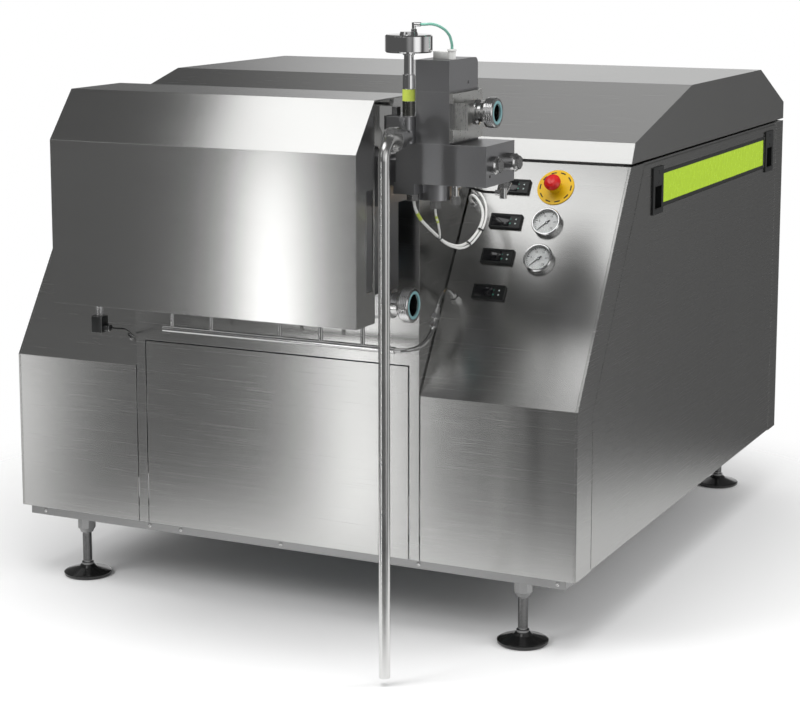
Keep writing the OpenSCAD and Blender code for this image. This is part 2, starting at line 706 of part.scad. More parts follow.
// Round caps with hexagon heads over the valves: a row in front and a row on top
module valve_cap() {
    cylinder(d = cap_d, h = 24);
    translate([0, 0, 24]) cylinder(d1 = cap_d, d2 = cap_d - 8, h = 4);
    translate([0, 0, 28]) hex(46, 16);
}
module pump_valve_caps() color("silver") from_front() for (i = plunger_i) {
    translate([pump_x + i * plunger_pitch, -block_rear - block_d, plunger_z]) rotate([90, 0, 0]) valve_cap();
    translate([pump_x + i * plunger_pitch, -block_rear - block_d / 2, block_top]) valve_cap();
}

module plunger_glands() color("lightsteelblue") from_front() for (i = plunger_i)
    translate([pump_x + i * plunger_pitch, -block_rear, plunger_z]) rotate([-90, 0, 0]) difference() {
        union() {
            cylinder(d = gland_d, h = 14);
            cylinder(d = gland_d - 16, h = gland_l);
            for (a = [0 : 60 : 300]) rotate([0, 0, a]) translate([gland_d / 2 - 8, 0, 14]) hex(10, 7);
        }
        translate([0, 0, -1]) cylinder(d = plunger_d + 2 * plunger_clear, h = gland_l + 2);
    }

module suction_manifold() color("silver") from_front() difference() {
    c = 10;
    y = manifold_y;
    z = manifold_z;
    w = manifold_d / 2;
    h = manifold_h / 2;
    extrude_x(pump_x - block_l / 2, block_r) polygon([[y - w, z - h + c], [y - w + c, z - h], [y + w - c, z - h],
        [y + w, z - h + c], [y + w, z + h], [y - w, z + h]]);
    rod_x([block_r - 120, y, z], inlet_bore + 2, 121);
}

// Male pipe union along X: plain tail, shoulder and threaded end with a seal face
module pipe_union(bore, thread_d, l) rotate([0, 90, 0]) rotate_extrude(convexity = 4) {
    wall = 2;
    thread_l = 21;
    polygon([[bore / 2, 0], [bore / 2 + wall + 6, 0], [bore / 2 + wall + 6, 5], [bore / 2 + wall, 8],
        [bore / 2 + wall, l - thread_l - 12], [thread_d / 2 - 4, l - thread_l - 2], [thread_d / 2, l - thread_l],
        [thread_d / 2, l - 2], [thread_d / 2 - 2, l], [bore / 2 + 7, l], [bore / 2 + 7, l - 4], [bore / 2, l - 4]]);
}
module inlet_union() color("silver") from_front()
    translate([block_r, manifold_y, manifold_z]) pipe_union(inlet_bore, inlet_thread_d, inlet_l);
module outlet_union() color("silver") from_front()
    translate([outlet_x, outlet_y, outlet_z]) pipe_union(outlet_bore, outlet_thread_d, union_l);

// Lower valve block: body, neck and flange on the pump block, foot flange and round boss below
module valve_lower_block() color("gray") from_front() {
    rear = -valve_front + valve_d;
    block([valve_x, -valve_front, lower_z], [lower_r, rear, middle_z]);
    block([block_r, -valve_front + 4, block_top - 110], [block_r + 24, rear - 4, block_top]);
    block([block_r + 24, -valve_front + 25, lower_z - 10], [valve_x, rear - 25, block_top - 8]);
    block([valve_x - 6, -valve_front, lower_z - flange_h], [valve_x + 44, rear - 30, lower_z]);
    translate([valve_x + 58, valve_y, lower_z - boss_h]) cylinder(d = 72, h = boss_h);
}
module valve_middle_block() color("gray") from_front()
    block([tall_x, -valve_front, middle_z], [tall_r, -valve_front + valve_d, upper_z]);
module valve_upper_block() color("gray") from_front() {
    top = upper_z + upper_h;
    rear = -valve_front + valve_d - 4;
    extrude_x(tall_x, tall_r) {
        polygon([[-valve_front, upper_z], [rear, upper_z], [rear, top - upper_round], [rear - upper_round, top],
            [-valve_front, top]]);
        translate([rear - upper_round, top - upper_round]) circle(r = upper_round);
    }
}

// Outlet block: two clamp plates on the tall block with the outlet body between them
module outlet_block() color("lightgray") from_front() difference() {
    rear = -valve_front + valve_d;
    union() {
        block([tall_r, -valve_front, middle_z + 5], [tall_r + 9, rear, middle_z + 31]);
        block([tall_r, -valve_front, upper_z - 24], [tall_r + 9, rear, upper_z - 3]);
        block([tall_r, outlet_y - 48, middle_z + 31], [outlet_x, outlet_y + 48, upper_z - 24]);
    }
    rod_x([tall_r + 4, outlet_y, outlet_z], outlet_bore + 1, outlet_l);
}

// Relief valve body: two rounded plates beside the tall blocks
module rounded_plate(low, high, r) {
    block([low[0] + r, low[1], low[2]], [high[0] - r, high[1], high[2]]);
    block([low[0], low[1] + r, low[2]], [high[0], high[1], high[2]]);
    for (x = [low[0] + r, high[0] - r]) translate([x, low[1] + r, low[2]]) cylinder(r = r, h = high[2] - low[2]);
}
module relief_body() color("dimgray") from_front() {
    seam = relief_seam;
    left = cover_r + 6;
    rounded_plate([valve_x, relief_front + 6, middle_z], [tall_x - 1, relief_rear, seam], 8);
    rounded_plate([left, relief_front, seam], [tall_x - 1, relief_rear, spindle_z], 12);
    translate([left + 14, relief_front + 40, spindle_z]) hex(18, 18);
}

// Relief union: slotted nut and stub on the front of the relief body
relief_nut_y = -pipe_reach + pipe_bend;
module relief_union() color("silver") from_front() translate([relief_x, relief_nut_y, relief_z]) rotate([-90, 0, 0]) {
    stub_l = relief_front + 6 - relief_nut_y;
    difference() {
        union() {
            cylinder(d = relief_nut_d, h = relief_nut_l);
            cylinder(d = min(pipe_d + 4, 2 * (relief_seam - relief_z) - 1), h = stub_l);
        }
        translate([0, 0, -1]) cylinder(d = pipe_d - 2 * pipe_wall, h = stub_l + 2);
        for (a = [0 : 90 : 270]) rotate([0, 0, a + 45]) translate([relief_nut_d / 2, 0, -1])
            translate([-5, -4, 0]) cube([10, 8, relief_nut_l + 2]);
    }
}

// Relief pipe: long open drop, weld ring and elbow up to the union
module relief_pipe() color("silver") from_front() translate([relief_x, -pipe_reach, 0]) {
    top = relief_z - pipe_bend;
    difference() {
        union() {
            translate([0, 0, pipe_end_z]) cylinder(d = pipe_d, h = top - pipe_end_z);
            translate([0, 0, top - 6]) cylinder(d = weld_d, h = 3);
        }
        translate([0, 0, pipe_end_z - 1]) cylinder(d = pipe_d - 2 * pipe_wall, h = top - pipe_end_z + 2);
    }
    translate([0, pipe_bend, top]) rotate([90, 0, 90]) rotate([0, 0, 90]) rotate_extrude(angle = 90)
        translate([pipe_bend, 0]) difference() {
            circle(d = pipe_d);
            circle(d = pipe_d - 2 * pipe_wall);
        }
}

// Screwed-in pieces of the valve: end plugs, bottom plugs, flange bolt, cable plugs and sensor tee
tee_x = lower_r - 12;
tee_y = -66;
tee_drop = 37;
module valve_fittings() color("silver") from_front() {
    for (p = [[-152, 15], [-72, 26]]) translate([lower_r, p[0], lower_z + 44]) rotate([0, 90, 0]) {
        cylinder(d = 40, h = p[1] - 6);
        translate([0, 0, p[1] - 6]) cylinder(d1 = 40, d2 = 34, h = 3);
        translate([0, 0, p[1] - 3]) hex(26, 7);
    }
    translate([valve_x + 66, valve_y - 16, lower_z - boss_h - 18]) hex(22, 18);
    translate([valve_x + 106, valve_y, lower_z - 50]) {
        cylinder(d = 16, h = 50);
        hex(20, 18);
    }
    translate([valve_x + 22, -valve_front + 36, lower_z - flange_h - 17]) hex(24, 17);
    translate([valve_x + 7, valve_y, lower_z - flange_h - 15]) cylinder(d = 14, h = 15);
    translate([valve_x + 89, tee_y, lower_z - 22]) {
        translate([-8, -8, 0]) cube([16, 16, 22]);
        rod_x([8, 0, 8], 10, 4);
    }
    translate([tee_x, tee_y, lower_z - tee_drop]) {
        cylinder(d = 16, h = tee_drop - 6);
        translate([0, 0, tee_drop - 14]) hex(19, 14);
        rod_x([-18, 0, 12], 12, 18);
        translate([0, 0, 10]) rotate([-62, 0, 0]) {
            cylinder(d = 13, h = 24);
            translate([0, 0, 24]) cylinder(d = 9, h = 18);
        }
    }
}

// Spindle that loads the relief valve: sleeve on the body, rod up to the air cylinder
module valve_spindle() color("silver") from_front() translate([spindle_x, spindle_y, spindle_z]) {
    cylinder(d = sleeve_d, h = sleeve_l);
    translate([0, 0, sleeve_l]) cylinder(d = spindle_d, h = spindle_l);
    translate([0, 0, sleeve_l + spindle_l - 5]) cylinder(d = sleeve_d, h = 5);
}
module valve_actuator() color("whitesmoke") from_front() translate([spindle_x, spindle_y, drum_z]) {
    rotate_extrude() polygon([[0, 0], [drum_d / 2 - 3, 0], [drum_d / 2, 3], [drum_d / 2, drum_h - 3],
        [drum_d / 2 - 3, drum_h], [20, drum_h], [18, drum_h + 6], [0, drum_h + 6]]);
}

// Air line pieces: elbow on the cylinder, socket and valve on the upper block
elbow_x = spindle_x + 12;
elbow_z = drum_z + drum_h + 6;
socket_x = tall_r - 12;
socket_y = -valve_front + 40;
socket_z = upper_z + upper_h;
module air_fittings() color("lightgray") from_front() {
    translate([elbow_x, spindle_y, elbow_z]) {
        cylinder(d = 9, h = 20);
        translate([0, 0, 16]) rotate([0, 90, 0]) cylinder(d = 9, h = 16);
        hex(12, 6);
    }
    translate([socket_x, socket_y, socket_z]) {
        cylinder(d = 15, h = 18);
        translate([0, 0, 18]) cylinder(d = 19, h = 4);
    }
    block([tall_x + 22, socket_y + 2, socket_z], [tall_x + 58, socket_y + 32, socket_z + 16]);
}

// Cooling water pipe for the plungers: straight feed pipe, risers and the bent end
cool_y = -60;
cool_z = 686;
cool_d = 16;
cool_l = -282;
cool_r = hose_place[0] - 62;
riser_d = 10;
risers = [-258, -150, 33, 141, 249];
cool_lean = 31;
cool_up = [0, sin(cool_lean), cos(cool_lean)];
cool_tip = [hose_place[0], 12, 732];
cool_bend = [[-62, -60, 686], [-46, -60, 686], [-32, -57, 687], [-20, -50, 690], [-11, -40, 694.5], [-5, -28, 700.5],
    [-1.5, -15.5, 708], [0, -3, 716.5]];
cool_route = concat([for (p = cool_bend) p + [hose_place[0], 0, 0]], [cool_tip - 8 * cool_up, cool_tip]);
module cooling_pipe() color("silver") from_front() {
    rod_x([cool_l, cool_y, cool_z], cool_d, cool_r - cool_l);
    for (x = risers) translate([x, cool_y, cool_z]) cylinder(d = riser_d, h = manifold_z - manifold_h / 2 - cool_z);
    swept(cool_route, 11, 12);
}

// Couplings on the pipe's end, and the bent tube over into the panel's fitting
hose_arc = concat([cool_tip + 46 * cool_up, cool_tip + 56 * cool_up],
    [for (p = [[47.5, 789], [56, 797], [66, 803], [77, 806.3], [88, 806.5], [98.5, 803.8]]) [hose_place[0], p[0], p[1]]],
    [for (out = [33, 22]) slant_point(hose_place[0], hose_place[1], out)]);
module cooling_fittings() color("silver") from_front() {
    on_slant(hose_place[0], hose_place[1]) {
        translate([0, 0, -14]) cylinder(d = hose_hole - 1, h = 14);
        hex(24, 10);
        translate([0, 0, 10]) cylinder(d = 13, h = 8);
        translate([0, 0, 14]) hex(17, 10);
    }
    translate(cool_tip) rotate([-cool_lean, 0, 0]) {
        hex(17, 12);
        cylinder(d = 14, h = 48);
        translate([0, 0, 20]) hex(19, 12);
    }
    swept(hose_arc, 9, 12);
}

// Gauge cases: rim, clear front recess and the body through the panel
module gauge_cases() color("silver") from_front() for (s = gauge_rows) on_slant(gauge_x, s) difference() {
    union() {
        rotate_extrude() polygon([[0, 0], [gauge_d / 2, 0], [gauge_d / 2, gauge_h - 3], [gauge_d / 2 - 2, gauge_h],
            [0, gauge_h]]);
        translate([0, 0, -sheet_t - 30]) cylinder(d = gauge_d - 9, h = sheet_t + 30.5);
        translate([0, 0, -sheet_t - 48]) hex(14, 19);
    }
    translate([0, 0, 4]) cylinder(d = gauge_d - 8, h = gauge_h);
}
module gauge_dials() color("white") from_front() for (s = gauge_rows) on_slant(gauge_x, s)
    translate([0, 0, 4]) {
        cylinder(d = gauge_d - 8.4, h = 1.5);
        cylinder(d = 3, h = 4.2);
    }

// Needle on the dial's post, at zero
module needle() on_slant(gauge_x, 0) translate([0, 0, 6.2]) rotate([0, 0, gauge_zero]) difference() {
    linear_extrude(1) {
        circle(d = 7, $fn = 48);
        polygon([[0, -1.8], [needle_l, -0.5], [needle_l, 0.5], [0, 1.8]]);
        polygon([[-9, -1.8], [0, -1.8], [0, 1.8], [-9, 1.8]]);
    }
    translate([0, 0, -1]) cylinder(d = 3.1, h = 3);
}
module upslope(s) translate([0, s * cos(slant_angle), s * sin(slant_angle)]) children();
module upper_gauge_needle() color("black") from_front() upslope(gauge_rows[1]) needle();
module lower_gauge_needle() color("black") from_front() upslope(gauge_rows[0]) needle();

// Panel controllers: bevelled face with a window recess, body through the panel
module controllers() color([0.05, 0.05, 0.05]) from_front() for (s = controller_rows) on_slant(controller_x, s) {
    w = controller_w / 2;
    h = controller_h / 2;
    difference() {
        translate([-w, -h, 0]) cube([2 * w, 2 * h, 8]);
        translate([-w + 4, -h + 4, 6.5]) cube([2 * w - 8, 2 * h - 8, 3]);
    }
    translate([-w + 4.5, -h + 4.5, -controller_depth]) cube([2 * w - 9, 2 * h - 9, controller_depth + 0.5]);
    for (x = [w - 26, w - 13], y = [-6, 5]) translate([x, y, 6]) cylinder(d = 7, h = 1.1);
}

// Stop button: disc, collar and contact block are fixed, the mushroom travels
estop_collar_h = 14;
mushroom_z = estop_collar_h + estop_travel + 1;
module estop_plate() color("gold") from_front() on_slant(gauge_x, estop_s) difference() {
    union() {
        cylinder(d = estop_d, h = 2);
        translate([0, 0, 2]) cylinder(d1 = 32, d2 = 29, h = estop_collar_h - 2);
        translate([0, 0, -sheet_t - 4]) cylinder(d = estop_hole - 1, h = sheet_t + 5);
        translate([-19, -19, -sheet_t - 46]) cube([38, 38, 44]);
    }
    translate([0, 0, -16]) cylinder(d = 14.6, h = 60);
}
module estop_button() color("red") from_front() on_slant(gauge_x, estop_s) {
    translate([0, 0, -7]) cylinder(d = 14, h = mushroom_z + 8);
    translate([0, 0, mushroom_z]) rotate_extrude() {
        polygon([[0, 0], [mushroom_d / 2 - 4, 0], [mushroom_d / 2, 4], [mushroom_d / 2, 9],
            [mushroom_d / 2 - 5, 15], [mushroom_d / 2 - 11, 18], [0, 19]]);
    }
}

// Cable glands in the right panel and the small entry in the left one
module cable_glands() color("silver") from_front() {
    for (g = gland_places) on_slant(g[0], g[1]) {
        translate([0, 0, -14]) cylinder(d = gland_hole - 1, h = 15);
        hex(18, 9);
        translate([0, 0, 9]) cylinder(d = 15, h = 6);
        translate([0, 0, 15]) cylinder(d1 = 15, d2 = 11, h = 7);
    }
    on_slant(plug_place[0], plug_place[1]) {
        translate([0, 0, -10]) cylinder(d = plug_hole - 1, h = 10);
        cylinder(d = 13, h = 5);
    }
}

// Cover hinges: two posts on the bay's top, each with an eye and a pin
module cover_hinges() color("silver") from_front() for (s = [-1, 1]) {
    x = pump_x + s * hinge_x;
    extrude_x(x - hinge_w / 2, x + hinge_w / 2) {
        translate([hinge_y, hinge_z]) circle(r = hinge_r);
        polygon([[hinge_y - hinge_r, hinge_z], [hinge_y - hinge_r, block_top + 10], [-block_rear + 6, block_top + 4],
            [4, slant_z + 4], [66, slant_z + 4], [hinge_y + hinge_r, block_top + 50], [hinge_y + hinge_r, hinge_z]]);
    }
    block([x - 30, 4, slant_z], [x + 30, 70, slant_z + 5]);
    rod_x([x, hinge_y, hinge_z], hinge_pin_d, hinge_w / 2 + hinge_len + 2);
}

// Pump cover: folded sheet with narrow sides, hand slots and hinge knuckles
cover_line = [[-cover_reach, cover_bottom], [-cover_reach, cover_fold_z], [-cover_top_y, cover_top_z],
    [-cover_rear, cover_top_z]];
module pump_cover() color("gainsboro") from_front() {
    half_bend = (90 - atan2(cover_top_z - cover_fold_z, cover_side_d)) / 2;
    drop = sheet_t * tan(half_bend);
    half_fold = atan2(cover_top_z - cover_fold_z, cover_side_d) / 2;
    extrude_x(cover_l, cover_r) polygon([cover_line[0], cover_line[0] + [sheet_t, 0],
        cover_line[1] + [sheet_t, -drop], cover_line[2] + [sheet_t * tan(half_fold), -sheet_t],
        cover_line[3] + [0, -sheet_t], cover_line[3], cover_line[2], cover_line[1]]);
    block([cover_l, -cover_reach, cover_bottom], [cover_r, -cover_reach + 18, cover_bottom + sheet_t]);
    for (x = [cover_l, cover_r - sheet_t]) difference() {
        extrude_x(x, x + sheet_t) polygon([cover_line[0], [-cover_top_y, cover_bottom], cover_line[2], cover_line[1]]);
        block([x - 1, -cover_top_y - slot_edge - slot_w, slot_z - slot_h / 2],
            [x + sheet_t + 1, -cover_top_y - slot_edge, slot_z + slot_h / 2]);
    }
    for (s = [-1, 1]) difference() {
        x = pump_x + s * hinge_x + hinge_w / 2 + 0.5;
        union() {
            rod_x([x, hinge_y, hinge_z], 2 * hinge_r - 6, hinge_len);
            block([x, hinge_y - hinge_r + 3, hinge_z], [x + hinge_len, hinge_y + hinge_r - 3, cover_top_z - sheet_t]);
        }
        rod_x([x - 1, hinge_y, hinge_z], hinge_pin_d + 2 * pin_clear, hinge_len + 2);
    }
}

// Side door: folded plate in the wall's opening, cut out for the strip and the grips
module side_door() {
    leaf = grown(door_hole, -door_gap);
    difference() {
        union() {
            extrude_x(door_out, half_w) polygon(leaf);
            extrude_x(half_w - sheet_t - door_fold, door_out) difference() {
                polygon(grown(door_hole, -door_ledge - 3));
                polygon(grown(door_hole, -door_ledge - 3 - sheet_t));
            }
        }
        block([door_out - 1, strip_y - strip_hole_l / 2, strip_z - strip_hole_h / 2],
            [half_w + 1, strip_y + strip_hole_l / 2, strip_z + strip_hole_h / 2]);
        for (s = [-1, 1]) block([door_out - 1, strip_y + s * grip_off - grip_w / 2 + grip_rim, strip_z - grip_h / 2 + grip_lap],
            [half_w + 1, strip_y + s * grip_off + grip_w / 2 - grip_rim, strip_z + grip_h / 2 - grip_lap]);
    }
}
module left_side_door() color("lightgray") from_front() mirror([1, 0, 0]) side_door();
module right_side_door() color("lightgray") from_front() side_door();

module accent_strip() {
    block([door_out - strip_back, strip_y - strip_hole_l / 2, strip_z - strip_hole_h / 2 - 5],
        [door_out, strip_y + strip_hole_l / 2, strip_z + strip_hole_h / 2 + 5]);
    block([door_out, strip_y - strip_l / 2, strip_z - strip_h / 2], [half_w - 0.8, strip_y + strip_l / 2, strip_z + strip_h / 2]);
}
module left_accent_strip() color([0.7, 0.82, 0.1]) from_front() mirror([1, 0, 0]) accent_strip();
module right_accent_strip() color([0.7, 0.82, 0.1]) from_front() accent_strip();

// Finger grips at both ends of the strip: rim on the door, pocket through it
module door_grips() for (s = [-1, 1]) translate([half_w, strip_y + s * grip_off, strip_z]) difference() {
    w = grip_w / 2;
    h = grip_h / 2;
    union() {
        block([0, -w, -h], [grip_proud, w, h]);
        block([-grip_depth, -w + grip_rim, -h + grip_rim], [0, w - grip_rim, h - grip_rim]);
    }
    block([-grip_depth + 3, -w + grip_rim + 3, -h + grip_rim + 3], [grip_proud + 1, w - grip_rim - 3, h - 44]);
    for (z = [h - 12, h - 38]) rod_x([grip_proud - 2, 0, z], 8, 3);
}
module left_door_grips() color([0.07, 0.07, 0.07]) from_front() mirror([1, 0, 0]) door_grips();
module right_door_grips() color([0.07, 0.07, 0.07]) from_front() door_grips();

// Sensor beside the pump block's left end: strap on the block, threaded body and angled plug
sensor_x = pump_x - block_l / 2 - 15;
sensor_y = -180;
module pump_sensor() color("silver") from_front() translate([sensor_x, sensor_y, 0]) {
    block([-14, -15, block_z - 8], [50, 15, block_z]);
    translate([0, 0, block_z - 101]) cylinder(d = 18, h = 94);
    translate([0, 0, block_z - 24]) hex(24, 16);
    translate([-14, -14, block_z - 140]) cube([28, 28, 39]);
    rod_x([14, 0, block_z - 128], 18, 16);
}

// Free cords, point by point: the first four go with the valve group, the last one joins sensor and panel
function moved(pts, x) = [for (p = pts) p + [x, 0, 0]];
air_route = moved([[59, -190, 1427], [66, -190, 1427], [73, -189, 1427.5], [80, -187, 1428], [87, -184, 1427],
    [93, -180, 1425], [98, -176, 1422], [103, -171, 1418], [107, -166, 1413], [110, -161, 1407],
    [112, -157, 1401], [113, -154, 1394], [114, -152, 1387], [114, -150, 1380], [114, -150, 1374]], valve_x);
sensor_route = concat(moved([[7, -112, 1046], [7, -112, 1038], [7, -109, 1026], [8, -98, 1009], [10, -80, 991],
    [13, -58, 975], [16, -35, 960], [19, -11, 945], [24, 11, 931], [32, 34, 921], [41, 57, 916], [50, 79, 920],
    [57, 100, 931], [61, 121, 946], [61, 141, 963], [55, 160, 980], [43, 176, 995], [28, 190, 1006],
    [13, 204, 1012], [1, 217, 1010], [-7, 229, 1003.5]], valve_x),
    [for (out = [31, 22]) slant_point(gland_places[0][0], gland_places[0][1], out)]);
branch_route = concat(moved([[66, -128, 1026], [66, -128, 1019], [66, -124, 1008], [63, -108, 993], [55, -86, 979],
    [46, -62, 966], [35, -36, 953], [25, -11, 941], [30, 11, 926], [38, 34, 916], [47, 57, 911], [57, 79, 916],
    [64, 100, 928], [68, 121, 944], [68, 142, 962], [63, 162, 983], [52, 180, 1001], [36, 197, 1015],
    [18, 213, 1024], [4, 229, 1026.5], [-5.5, 241.5, 1023]], valve_x),
    [for (out = [31, 22]) slant_point(gland_places[1][0], gland_places[1][1], out)]);
lead_route = moved([[101, -66, 1071], [108, -66, 1071], [115, -66, 1070], [122, -66, 1068], [129, -66, 1066],
    [136, -66, 1064], [143, -66, 1062], [150, -66, 1061], [158, -66, 1060], [166, -66, 1060],
    [174, -66, 1060], [182, -66, 1060]], valve_x);
plug_start = sensor_x + 30;
plug_run = plug_start - plug_place[0];
plug_route = concat([for (p = [[0, -180, 702], [7, -180, 702], [14, -177.5, 701.5], [19.5, -172, 700.5],
    [22, -164, 699], [21.5, -154, 696.5], [19, -142, 692], [15, -128, 687], [9, -111, 680], [2, -93, 673],
    [-7, -74, 666], [-18, -55, 660], [-31, -36, 656], [-45, -17, 653], [-59, 0, 651], [-72, 14, 648.5],
    [-81.5, 21.5, 645]]) [plug_start + p[0] * (p[0] < 0 ? plug_run / 87 : 1), p[1], p[2]]],
    [for (out = [13, 5]) slant_point(plug_place[0], plug_place[1], out)]);
module air_tube() color([0.2, 0.6, 0.5]) from_front() swept(air_route, 6, 8);
module sensor_cable() color("white") from_front() swept(sensor_route, 7, 8);
module branch_cable() color("white") from_front() swept(branch_route, 5, 8);
module sensor_lead() color("black") from_front() swept(lead_route, 6, 8);
module plug_lead() color("black") from_front() swept(plug_route, 4, 8);

machine_frame();
foot_pads();
foot_stems();
left_side_wall();
right_side_wall();
left_front_panel();
right_front_panel();
centre_front_panel();
pump_box();
hood();
rear_panel();
crankcase();
drive_motor();
drive_belts();
pump_block();
suction_manifold();
inlet_union();
outlet_union();
pump_valve_caps();
plunger_glands();
valve_lower_block();
valve_middle_block();
valve_upper_block();
outlet_block();
relief_body();
relief_union();
relief_pipe();
valve_fittings();
valve_spindle();
valve_actuator();
air_fittings();
cooling_pipe();
cooling_fittings();
gauge_cases();
gauge_dials();
upper_gauge_needle();
lower_gauge_needle();
controllers();
estop_plate();
estop_button();
cable_glands();
cover_hinges();
pump_cover();
left_side_door();
right_side_door();
left_accent_strip();
right_accent_strip();
left_door_grips();
right_door_grips();
left_plunger();
centre_plunger();
right_plunger();
motor_shaft();
input_shaft();
pump_sensor();
air_tube();
sensor_cable();
branch_cable();
sensor_lead();
plug_lead();
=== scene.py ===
import math

import bmesh
import bpy
from mathutils import Matrix, Vector


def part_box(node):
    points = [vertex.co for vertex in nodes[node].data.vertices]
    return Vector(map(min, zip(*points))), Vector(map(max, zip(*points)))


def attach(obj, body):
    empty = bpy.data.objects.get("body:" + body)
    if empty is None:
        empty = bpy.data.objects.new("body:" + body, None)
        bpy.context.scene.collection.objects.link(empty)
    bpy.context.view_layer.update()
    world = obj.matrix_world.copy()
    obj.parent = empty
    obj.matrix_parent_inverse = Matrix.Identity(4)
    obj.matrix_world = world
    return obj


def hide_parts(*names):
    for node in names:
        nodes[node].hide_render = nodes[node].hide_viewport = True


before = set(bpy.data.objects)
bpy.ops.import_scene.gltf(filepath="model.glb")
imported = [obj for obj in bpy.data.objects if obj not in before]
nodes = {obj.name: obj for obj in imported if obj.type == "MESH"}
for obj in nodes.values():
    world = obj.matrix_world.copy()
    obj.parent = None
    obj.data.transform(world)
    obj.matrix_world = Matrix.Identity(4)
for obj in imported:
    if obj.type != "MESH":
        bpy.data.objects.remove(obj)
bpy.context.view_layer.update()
mm = 0.001
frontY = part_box("centre_front_panel")[0].y  # front panel plane
print("frame loaded:", len(nodes), "nodes")

# camera at the photograph's viewing angle
shot = {"place": (2.3036, -4.8266, 1.6236), "turn": 25.52, "dip": 8.97, "lens": 92.5, "shiftY": -0.12}


def makeCamera():
    lens = bpy.data.cameras.new("shot")
    lens.sensor_width = 36
    lens.sensor_fit = "HORIZONTAL"
    lens.lens = shot["lens"]
    lens.shift_y = shot["shiftY"]
    camera = bpy.data.objects.new("shot", lens)
    bpy.context.scene.collection.objects.link(camera)
    turn = Matrix.Rotation(math.radians(shot["turn"]), 4, "Z")
    dip = Matrix.Rotation(math.radians(90 - shot["dip"]), 4, "X")
    camera.matrix_world = Matrix.Translation(shot["place"]) @ turn @ dip
    bpy.context.scene.camera = camera


makeCamera()


# places in the cabinet's own millimetres, measured from the front panel plane
def cab(x, y, z):
    return Vector((x * mm, frontY + y * mm, z * mm))


slope = {"bendZ": 571, "topZ": 1083, "run": 330}  # the slanted instrument panel
slopeTurn = math.atan2(slope["topZ"] - slope["bendZ"], slope["run"])
slopeFrame = Matrix.Rotation(slopeTurn, 4, "X")


# frame on the slanted panel: local Z out of the panel, local Y up the slope
def onSlope(x, s, out=0.0):
    foot = cab(x, s * math.cos(slopeTurn), slope["bendZ"] + s * math.sin(slopeTurn))
    return Matrix.Translation(foot) @ slopeFrame @ Matrix.Translation((0, 0, out * mm))


# frame at a point with local Z along a direction
def along(point, direction):
    return Matrix.Translation(point) @ Vector(direction).to_track_quat("Z", "Y").to_matrix().to_4x4()


# frame over a point of the floor plan with local Z straight up
def upright(x, y):
    return along(cab(x, y, 0), (0, 0, 1))


# move inside a placing matrix, in millimetres, and spin about local Z
def shifted(place, x=0.0, y=0.0, z=0.0, spin=0.0):
    move = Matrix.Translation((x * mm, y * mm, z * mm))
    return place @ move @ Matrix.Rotation(math.radians(spin), 4, "Z")


# shading that all finishes share; the brush axis sets the level direction that gloss is drawn out across
shading = {"grainRough": 0.55, "rampStops": (0.3, 0.7), "spanFrom": 0.25, "spanTo": 0.75,
           "bumpStrength": 0.35, "edgeSamples": 4, "coatRough": 0.08, "brushTurn": 0.25,
           "brushAxis": (0, 0.05, 1), "cloudGrain": (3.1, 3.7, 2.9), "cloudDetail": 2.0,
           "cloudShade": (0.55, 0.55, 0.55)}


def newFinish(name):
    finish = bpy.data.materials.new(name)
    finish.use_nodes = True
    tree = finish.node_tree
    return finish, tree, tree.nodes["Principled BSDF"]


def addNode(tree, kind, **values):
    node = tree.nodes.new(kind)
    for key, value in values.items():
        if key in node.inputs:
            node.inputs[key].default_value = value
        else:
            setattr(node, key, value)
    return node


def objectNoise(tree, stretch, detail=3.0):
    coords = addNode(tree, "ShaderNodeTexCoord")
    mapping = addNode(tree, "ShaderNodeMapping", Scale=stretch)
    noise = addNode(tree, "ShaderNodeTexNoise", Scale=1.0, Detail=detail, Roughness=shading["grainRough"])
    tree.links.new(coords.outputs["Object"], mapping.inputs["Vector"])
    tree.links.new(mapping.outputs["Vector"], noise.inputs["Vector"])
    return noise.outputs["Fac"]


def shadeRamp(tree, source, low, high):
    ramp = addNode(tree, "ShaderNodeValToRGB")
    for stop, position, shade in zip(ramp.color_ramp.elements, shading["rampStops"], (low, high)):
        stop.position = position
        stop.color = (*shade, 1)
    tree.links.new(source, ramp.inputs["Fac"])
    return ramp.outputs["Color"]


def ranged(tree, source, start, end, low=0.0, high=1.0, curve="SMOOTHSTEP"):
    span = addNode(tree, "ShaderNodeMapRange", interpolation_type=curve)
    for key, value in (("From Min", start), ("From Max", end), ("To Min", low), ("To Max", high)):
        span.inputs[key].default_value = value
    tree.links.new(source, span.inputs["Value"])
    return span.outputs["Result"]


def spanned(tree, source, low, high):
    return ranged(tree, source, shading["spanFrom"], shading["spanTo"], low, high, "LINEAR")


def tinted(color, factor):
    return tuple(min(1.0, c * factor) for c in color)


# fine relief on the shader's normal, over edges rounded by the given radius
def relief(tree, shader, source, depth, edge):
    bump = addNode(tree, "ShaderNodeBump", Strength=shading["bumpStrength"], Distance=depth)
    tree.links.new(source, bump.inputs["Height"])
    if edge > 0:
        softEdge = addNode(tree, "ShaderNodeBevel", Radius=edge)
        softEdge.samples = shading["edgeSamples"]
        tree.links.new(softEdge.outputs["Normal"], bump.inputs["Normal"])
    tree.links.new(bump.outputs["Normal"], shader.inputs["Normal"])


